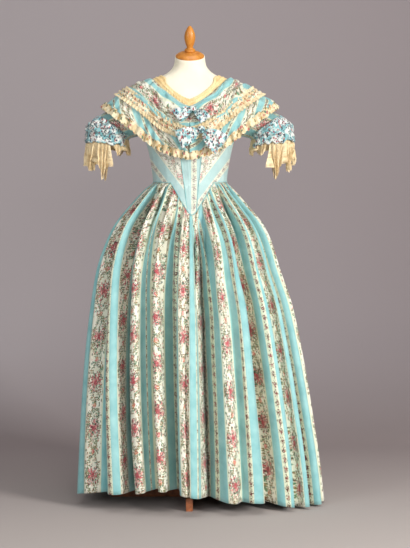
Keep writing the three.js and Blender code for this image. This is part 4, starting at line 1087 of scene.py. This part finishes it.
trim_lace = lace_material("trimming_lace", dye(234, 218, 180), dye(204, 174, 126), 0.7)
trim_silk = figured_silk("ruched_trimming_silk", (dye(238, 226, 196), dye(214, 192, 150)),
                         [dye(150, 112, 74), dye(122, 146, 116), dye(176, 96, 84), dye(104, 92, 70),
                          dye(160, 200, 190), dye(206, 150, 104)], 0.0060, 0.75, 0.7)
edging_silk = figured_silk("flowered_edging", (dye(234, 220, 184), dye(212, 190, 146)),
                           [dye(132, 116, 66), dye(190, 150, 90), dye(176, 104, 96), dye(96, 120, 96)],
                           0.0070, 0.5, 0.6)
collar_silk = silk_material("collar_taffeta", crinkle=0.9, roughness=0.32)
for side, word in SIDES:
    seed = 40 + side

    def drape_height(along, t, degrees):
        phase = 4.6 * t + 0.7 * ripple(seed, along * 11, t * 2.2) + 0.3
        whole = np.floor(phase)
        uneven = 0.0026 * ripple(seed + 1, along * 16, whole * 1.7)
        size = 0.0058 + 0.0024 * np.sin(2.3 * whole + side) + uneven
        near_bow = mix(0.45, 1, smoothstep(degrees, 4, 22))
        fade = smoothstep(t, 0, 0.08) * smoothstep(1.02 - t, 0, 0.1) * near_bow
        fine = 0.0024 * bulges(seed + 9, along * 150, t * 18)
        crush = 0.0060 * bulges(seed + 2, along * 62, t * 7) + fine
        return fade * (np.maximum(size, 0.001) * ridge(phase) + crush)

    def drape_silk(along, depth, t):
        across = 0.6 + 0.85 * t + 0.13 * ripple(seed + 10, along * 17, t * 3)
        return pair(across, along + 0.03 * side)

    drape = collar_piece(f"bertha_drape_{word}_folds", side, 0, 0.56, 60, 240, drape_height, drape_silk)
    finish_piece(drape, collar_silk, "silk", f"bertha_drape_{word}")

    def band_height(along, t, degrees):
        gathers = ridge(along / 0.0105 + 0.7 * ripple(seed + 3, along * 30, t * 3), 0.6)
        puffs = ridge(2 * t, 0.8)
        edge = np.abs(2 * t - 1) ** 6
        frill = np.sin(along / 0.0105 * 2 * np.pi + 5 * t)
        knots = 0.0035 * bulges(seed + 11, along * 130, t * 3)
        return 0.0030 + 0.0050 * puffs * (0.3 + 0.7 * gathers) + knots * puffs + 0.0022 * edge * frill

    band = collar_piece(f"bertha_band_{word}_ruched", side, 0.485, 0.635, 18, 560, band_height, plain_map)
    finish_piece(band, trim_silk, "trimming", f"bertha_band_{word}")

    for place, (low, high) in (("upper", (0.442, 0.5)), ("lower", (0.62, 0.70))):
        outer = 1 if place == "lower" else -1

        def frill_height(along, t, degrees):
            free = t if outer > 0 else 1 - t
            wave = np.sin(along / 0.013 * 2 * np.pi + 1.5 * ripple(seed + 4, along * 25, 0 * t))
            return 0.0045 + 0.003 * free * wave + 0.003 * free

        frill_piece = collar_piece(f"bertha_band_{word}_{place}_frill", side, low, high, 7, 480,
                                   frill_height, plain_map, wall=0)
        frill_piece.data.materials.append(trim_lace)
        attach(frill_piece, "root")
        width = 0.015 if outer < 0 else 0.022

    def flounce_height(along, t, degrees):
        wave = np.sin(along / 0.036 * 2 * np.pi + 1.9 * ripple(seed + 5, along * 14, t * 0.6))
        fine = np.sin(along / 0.014 * 2 * np.pi + 2.5 * ripple(seed + 6, along * 20, t)) * np.exp(-3 * t)
        crush = 0.0050 * bulges(seed + 7, along * 70, t * 4) * smoothstep(t, 0, 0.3)
        return 0.0046 * t * wave + 0.0016 * fine + crush - 0.0006

    def flounce_silk(along, depth, t):
        across = 0.1 + along / REPEAT + 0.55 * t + 0.12 * ripple(seed + 12, along * 14, t)
        return pair(across, 0.2 - depth)

    flounce = collar_piece(f"bertha_flounce_{word}_gathered", side, 0.556, 0.9, 40, 360,
                           flounce_height, flounce_silk)
    finish_piece(flounce, collar_silk, "silk", f"bertha_flounce_{word}")

    def edge_height(along, t, degrees):
        wave = np.sin(along / 0.036 * 2 * np.pi + 1.9 * ripple(seed + 5, along * 14, 1 + 0 * t))
        small = np.sin(along / 0.017 * 2 * np.pi + 1.2 * ripple(seed + 8, along * 18, t))
        return 0.0035 * wave + 0.0015 + 0.0024 * t * small

    def scallops(along, t, degrees):
        return 0.005 * t**2 * ridge(along / 0.019, 0.6)

    edge = collar_piece(f"bertha_edge_{word}_lace", side, 0.88, 1.0, 10, 560,
                        edge_height, plain_map, wall=0, sag_of=scallops)
    finish_piece(edge, edging_silk, "trimming", f"bertha_edge_{word}")

# ---- Sleeves ---------------------------------------------------------------------------------------------
# Short tight sleeves set low off the shoulder, with a ruched puff of silk on the front of each, and falls of
# gathered lace from the hem: a long one outside and a short one inside.
ROOT_X, ROOT_Z, ROOT_LEAN, ROOT_RADIUS, HEM_X = 0.158, 1.252, 8, 0.058, 0.270
SLEEVE = table("index x z lean high deep", [
    (0, ROOT_X, ROOT_Z, ROOT_LEAN, ROOT_RADIUS, ROOT_RADIUS), (1, 0.200, 1.244, 20, 0.057, 0.062),
    (2, 0.233, 1.230, 45, 0.060, 0.067), (3, 0.262, 1.210, 70, 0.070, 0.072),
    (4, HEM_X, 1.190, 82, 0.069, 0.070)])


def sleeve_point(row, turn):
    """A point of the wearer's left sleeve. It turns from the outside (0) by the front to the inside."""
    row, turn = np.broadcast_arrays(np.asarray(row, float), np.asarray(turn, float))
    section = smooth_row(SLEEVE, "index", row)
    lean = np.radians(section["lean"])
    up, front = section["high"] * np.cos(np.radians(turn)), section["deep"] * np.sin(np.radians(turn))
    x, z = section["x"] + up * np.sin(lean), section["z"] + up * np.cos(lean)
    root_up, root_front = ROOT_RADIUS * np.cos(np.radians(turn)), ROOT_RADIUS * np.sin(np.radians(turn))
    root_z = ROOT_Z + root_up * math.cos(math.radians(ROOT_LEAN))
    torso = smooth_row(TORSO, "z", root_z)
    depth = np.where(root_front > 0, torso["front"], torso["back"])
    root_x = torso["half"] * np.sqrt(np.maximum(1 - (root_front / depth) ** 2, 0)) + 0.0042
    x = x + np.clip(1 - row, 0, 1) * (root_x - (ROOT_X + root_up * math.sin(math.radians(ROOT_LEAN))))
    return np.stack([x, -front, z], -1)


def mirrored(points, uv, side):
    """The same grid for one side, with its columns in the order that keeps the cloth's face outward."""
    points = points.copy()
    points[..., 0] *= side
    return (points[:, ::-1], uv[:, ::-1]) if side > 0 else (points, uv)


fall_lace = lace_material("sleeve_lace", dye(248, 228, 186), dye(214, 180, 124), 0.6, lines=[(0.0, 0.004)])
bow_silk = figured_silk("figured_bow_silk", (dye(236, 240, 234), dye(138, 194, 198)),
                        [dye(50, 58, 88), dye(64, 92, 84), dye(150, 44, 62), dye(40, 56, 58),
                         dye(112, 168, 172), dye(186, 110, 104), dye(96, 78, 68), dye(64, 86, 112)],
                        0.0056, 0.66, 1.0, 0.34)
PUFF_FROM, PUFF_TO, PUFF_HIGH, PUFF_HANG, PUFF_FLARE = 20, 140, 0.019, 0.026, 0.006
# Each fall of lace: where it starts and ends round the hem, its longest and shortest drop, how many folds it
# has and how far they swing, the tails that they hang in, and the cut of the lace.
FALLS = [("outer", -98, 98, 0.132, 0.094, 15, 0.006, 5, (0.4, 0.1)),
         ("inner", 101, 259, 0.052, 0.046, 9, 0.004, 4, (0.25, 0.045))]
for side, word in SIDES:
    seed = 71 + side
    rows = np.linspace(0, 4, 36)[:, None]
    turn = np.linspace(0, 360, 120, endpoint=False)[None]
    points = sleeve_point(rows, turn)
    normals = -grid_normals(points, True)
    gathers = ridge(turn / 360 * 26 + 0.6 * ripple(seed, turn / 20, rows), 0.8)
    creases = 0.0010 * gathers * (0.3 + 0.7 * np.abs(rows / 2 - 1))
    points = points + normals * creases[..., None]
    uv = pair(np.linspace(0, 0.42 / REPEAT, 121)[None] + 0.3, rows * 0.045)
    sleeve_points, sleeve_uv = mirrored(points, uv, side)
    sleeve = grid_mesh(f"sleeve_{word}_silk", sleeve_points, sleeve_uv, around=True, wall=SILK_WALL)
    finish_piece(sleeve, collar_silk, "silk", f"sleeve_{word}")

    u, v = np.linspace(0, 1, 84)[:, None], np.linspace(0, 1, 104)[None]
    low_end = PUFF_FROM - 24 * np.exp(-(((u - 0.42) / 0.13) ** 2)) - 5 * ripple(seed + 5, u * 16, 0)
    high_end = PUFF_TO + 6 * ripple(seed + 6, u * 16, 0)
    row = mix(2.35, 4.85 + 0.22 * ripple(seed + 9, v * 12, 0 * v), u)
    past_hem = np.maximum(row - 4, 0) / 0.9
    seat = sleeve_point(np.minimum(row, 4), mix(low_end, high_end, v))
    outward = unit((seat - np.array([HEM_X, 0, 0])) * np.array([1, 1, 0]))
    flare = outward * (PUFF_FLARE * past_hem)[..., None]
    seat = seat + flare - np.array([0, 0, PUFF_HANG]) * past_hem[..., None]
    seat_out = -grid_normals(seat)
    crown = np.sin(np.pi * u) ** 0.4 * np.sin(np.pi * v) ** 0.4
    crush = 0.56 * bulges(seed + 1, u * 12, v * 15) + 0.16 * bulges(seed + 2, u * 26, v * 32)
    height = 0.0022 + 0.0020 * u + PUFF_HIGH * crown * (0.52 + crush)
    points = seat + seat_out * np.maximum(height, 0.0016)[..., None]
    uv = pair(v * 0.17, u * 0.12)
    puff_points, puff_uv = mirrored(points, uv, side)
    puff = grid_mesh(f"sleeve_puff_{word}_ruched", puff_points, puff_uv, wall=SILK_WALL)
    finish_piece(puff, bow_silk, "bow_silk", f"sleeve_puff_{word}")

    for name, start, end, long, short, folds, wave, tails, cut in FALLS:
        t, s = np.linspace(0, 1, 30)[:, None], np.linspace(0, 1, 320)[None]
        bunch = (np.floor(s * tails) + 0.5) / tails
        turn = mix(start, end, mix(s, bunch, 0.55 * t**1.5))
        top = sleeve_point(4, turn)
        centre = np.stack([HEM_X + 0 * turn, 0 * turn, top[..., 2]], -1)
        outward = top - centre
        outward[..., 2] = 0
        outward = unit(outward)
        length = mix(short, long, np.abs(np.sin(np.radians(mix(start, end, s)))) ** 1.5)
        within = np.abs(2 * ((s * tails) % 1) - 1)
        length = length * (1.03 + 0.05 * ripple(seed + 4, s * 11, 0 * s) - 0.30 * within**1.6)
        length = length + 0.004 * ridge(s * folds * 3, 0.6)
        phase = s * folds + 0.35 * ripple(seed + 3, s * 8, t * 0.8)
        swing = np.sin(2 * np.pi * phase) + 0.5 * np.sin(6 * np.pi * phase + 1)
        swing = swing + 0.5 * ripple(seed + 8, s * 60, t * 5)
        points = top + outward * (t**0.8 * (0.004 + wave * swing))[..., None]
        points[..., 2] -= 0.0008 + t * length
        uv = pair(s * 0.62, t * length)
        lace_points, lace_uv = mirrored(points, uv, side)
        fall = grid_mesh(f"sleeve_lace_{name}_{word}_fall", lace_points, lace_uv)
        finish_piece(fall, fall_lace, "lace", f"sleeve_lace_{name}_{word}")

# ---- Bows ------------------------------------------------------------------------------------------------
# Two flat bows of the figured silk at the centre front, each with two crushed loops and a tight knot, tacked
# to the folds of the collar.
# Each bow: how far aside and how far down the collar it sits, how far it stands off, and its knot's radius.
# Each loop: the way it points in degrees, how far it rises, its length and its width.
BOWS = [("upper", 0.012, 0.12, 0.0048, 0.011,
         [("right", 214, 0.1, 0.056, 0.048), ("left", 310, 0.05, 0.050, 0.040)]),
        ("lower", 0.038, 0.56, 0.0078, 0.012,
         [("right", 206, 0.12, 0.070, 0.060), ("left", 322, 0.0, 0.072, 0.070)])]
LOOP = table("step out front half", [
    (-1, 0.22, -0.03, 0.30), (0, 0, 0.03, 0.16), (1, 0.22, 0.15, 0.34), (2, 0.58, 0.22, 0.47),
    (3, 0.88, 0.16, 0.50), (4, 1.0, 0.05, 0.48), (5, 0.86, -0.02, 0.47), (6, 0.55, -0.03, 0.42),
    (7, 0.22, -0.03, 0.30), (8, 0, 0.03, 0.16), (9, 0.22, 0.15, 0.34)])
KNOT_FLATNESS, BOW_WALL = 0.62, SILK_WALL * 0.7
for name, bow_x, bow_w, lift, knot_size, loops in BOWS:
    seats = np.linspace(0, 30, 121)
    seat_points, _ = cape_surface(seats, [bow_w, bow_w + 0.2])
    nearest = int(np.argmin(np.abs(seat_points[0, :, 0] - bow_x)))
    here, below = seat_points[:, nearest]
    up = unit(np.array([0, here[1] - below[1], here[2] - below[2]]))
    out = np.array([0, -up[2], up[1]])
    middle = here + out * (lift + knot_size * KNOT_FLATNESS)
    lat = np.linspace(0.05, np.pi - 0.05, 26)[:, None]
    lon = np.linspace(0, 2 * np.pi, 48, endpoint=False)[None]
    swell = 1 + 0.07 * np.sin(9 * lon + 2 * np.cos(lat)) * np.sin(lat) + 0.04 * ripple(90, lat * 4, lon)
    local_x, local_up = knot_size * np.sin(lat) * np.sin(lon) * swell, knot_size * np.cos(lat) * swell
    local_out = knot_size * KNOT_FLATNESS * np.sin(lat) * np.cos(lon) * swell
    ball = (middle + local_x[..., None] * np.array([1, 0, 0]) + local_up[..., None] * up
            + local_out[..., None] * out)
    knot_uv = pair(np.linspace(-0.25, 0.25, 49)[None], lat * 0.02)
    knot = grid_mesh(f"bow_{name}_knot_tied", ball, knot_uv, around=True, ends=True)
    finish_piece(knot, bow_silk, "bow_silk", f"bow_{name}_knot")
    for index, (loop_name, turn, rise, length, width) in enumerate(loops):
        turn = math.radians(turn)
        along = np.array([math.cos(turn), 0, 0]) + up * math.sin(turn)
        across = np.array([-math.sin(turn), 0, 0]) + up * math.cos(turn)
        root = middle + along * (knot_size + 0.0004)
        share = np.linspace(1, -1, 30)[:, None]
        step = np.linspace(0, 8, 100, endpoint=False)[None]
        row = smooth_row(LOOP, "step", step)
        seed = 110 + 7 * index + len(name)
        pinch = 0.0022 * np.exp(-2.2 * row["out"]) * np.sin(share * 13 + seed)
        crush = 0.0024 * ripple(seed, share * 5, step * 1.7, 9, 0.6, 1.5) * smoothstep(row["out"], 0.1, 0.5)
        curl = 0.10 * share**2 * row["out"] * length
        front = (row["front"] + rise * row["out"]) * length + pinch + crush - curl * 0.4
        far = row["out"] * length * (1 + 0.05 * ripple(seed + 1, share * 2, 0 * step))
        loop_points = (root + far[..., None] * along + front[..., None] * out
                       + (share * row["half"] * width)[..., None] * across)
        loop_round = np.linspace(0, 2 * length, 101)[None] + 0.05 * index
        loop_uv = pair(0.05 + share * width / REPEAT * 0.5, loop_round)
        loop = grid_mesh(f"bow_{name}_loop_{loop_name}_crushed", loop_points, loop_uv, around=True,
                         wall=BOW_WALL)
        finish_piece(loop, bow_silk, "bow_silk", f"bow_{name}_loop_{loop_name}")
        2 * length

# ---- Studio ----------------------------------------------------------------------------------------------
# A pale floor that sweeps up into a plain backdrop, with painted shade: the floor darkens towards the cove
# and the backdrop towards the wearer's left. The main soft light stands in front on the wearer's left, weaker
# ones stand on the right and in the middle, and one hangs overhead.
SWEEP = table("back z", [(-4.2, 0.0), (1.0, 0.0), (1.35, 0.03), (1.7, 0.13), (1.95, 0.33), (2.08, 0.62),
                         (2.12, 1.0), (2.14, 6.0)])
sweep_x = np.linspace(6, -6, 13)
sweep_grid = np.stack(np.broadcast_arrays(sweep_x, SWEEP["back"][:, None], SWEEP["z"][:, None]), -1)
sweep = grid_mesh("studio_sweep", sweep_grid)
paper, tree, shader, places = new_material("pale_paper", 0.9)
split = tree.nodes.new("ShaderNodeSeparateXYZ")
tree.links.new(places.outputs["Object"], split.inputs[0])
sideways, backward = Field(tree, split.outputs[0]), Field(tree, split.outputs[1])
# Painted shade: the floor darkens from the front towards the cove behind the gown, and the backdrop darkens
# towards the wearer's left.
floor_painted_shade = blend_colour(tree, backward.spread(-1.0, 1.0), dye(185, 176, 171), dye(154, 142, 141))
wall = blend_colour(tree, sideways.spread(-1.2, 1.2), dye(165, 157, 159), dye(142, 133, 135))
tree.links.new(blend_colour(tree, backward.spread(1.1, 1.9), floor_painted_shade, wall), shader.inputs["Base Color"])
# The paper hides nothing from behind, so that the back of the gown can be seen past it.
sides = tree.nodes.new("ShaderNodeNewGeometry")
tree.links.new(Field(tree, sides.outputs["Backfacing"]).below(0.5).socket, shader.inputs["Alpha"])
sweep.data.materials.append(paper)

GOWN_MIDDLE = np.array([0.0, 0.0, 0.85])
LIGHTS = [
    ("key_softbox", (3.1, -3.2, 1.65), 1.1, 200.0, (1.0, 0.98, 0.95)),
    ("fill_softbox", (-3.0, -3.9, 1.4), 1.8, 68.0, (0.96, 0.98, 1.0)),
    ("front_softbox", (0.5, -5.2, 1.9), 1.0, 40.0, (1.0, 0.99, 0.97)),
    ("top_softbox", (0.2, -0.6, 3.6), 1.6, 31.0, (1.0, 1.0, 1.0)),
]
for name, place, size, power, colour in LIGHTS:
    light = bpy.data.lights.new(name, "AREA")
    light.size = size
    light.energy = power
    light.color = colour
    lamp = in_scene(name, light)
    lamp.location = place
    aim = GOWN_MIDDLE - np.array(place)
    tip = math.atan2(math.hypot(aim[0], aim[1]), -aim[2])
    lamp.rotation_euler = (tip, 0, math.atan2(aim[1], aim[0]) - math.pi / 2)
world = bpy.data.worlds.new("studio_air")
world.use_nodes = True
world.node_tree.nodes["Background"].inputs["Color"].default_value = (0.85, 0.83, 0.84, 1)
world.node_tree.nodes["Background"].inputs["Strength"].default_value = 0.22
bpy.context.scene.world = world
bpy.context.scene.view_settings.view_transform = "Standard"
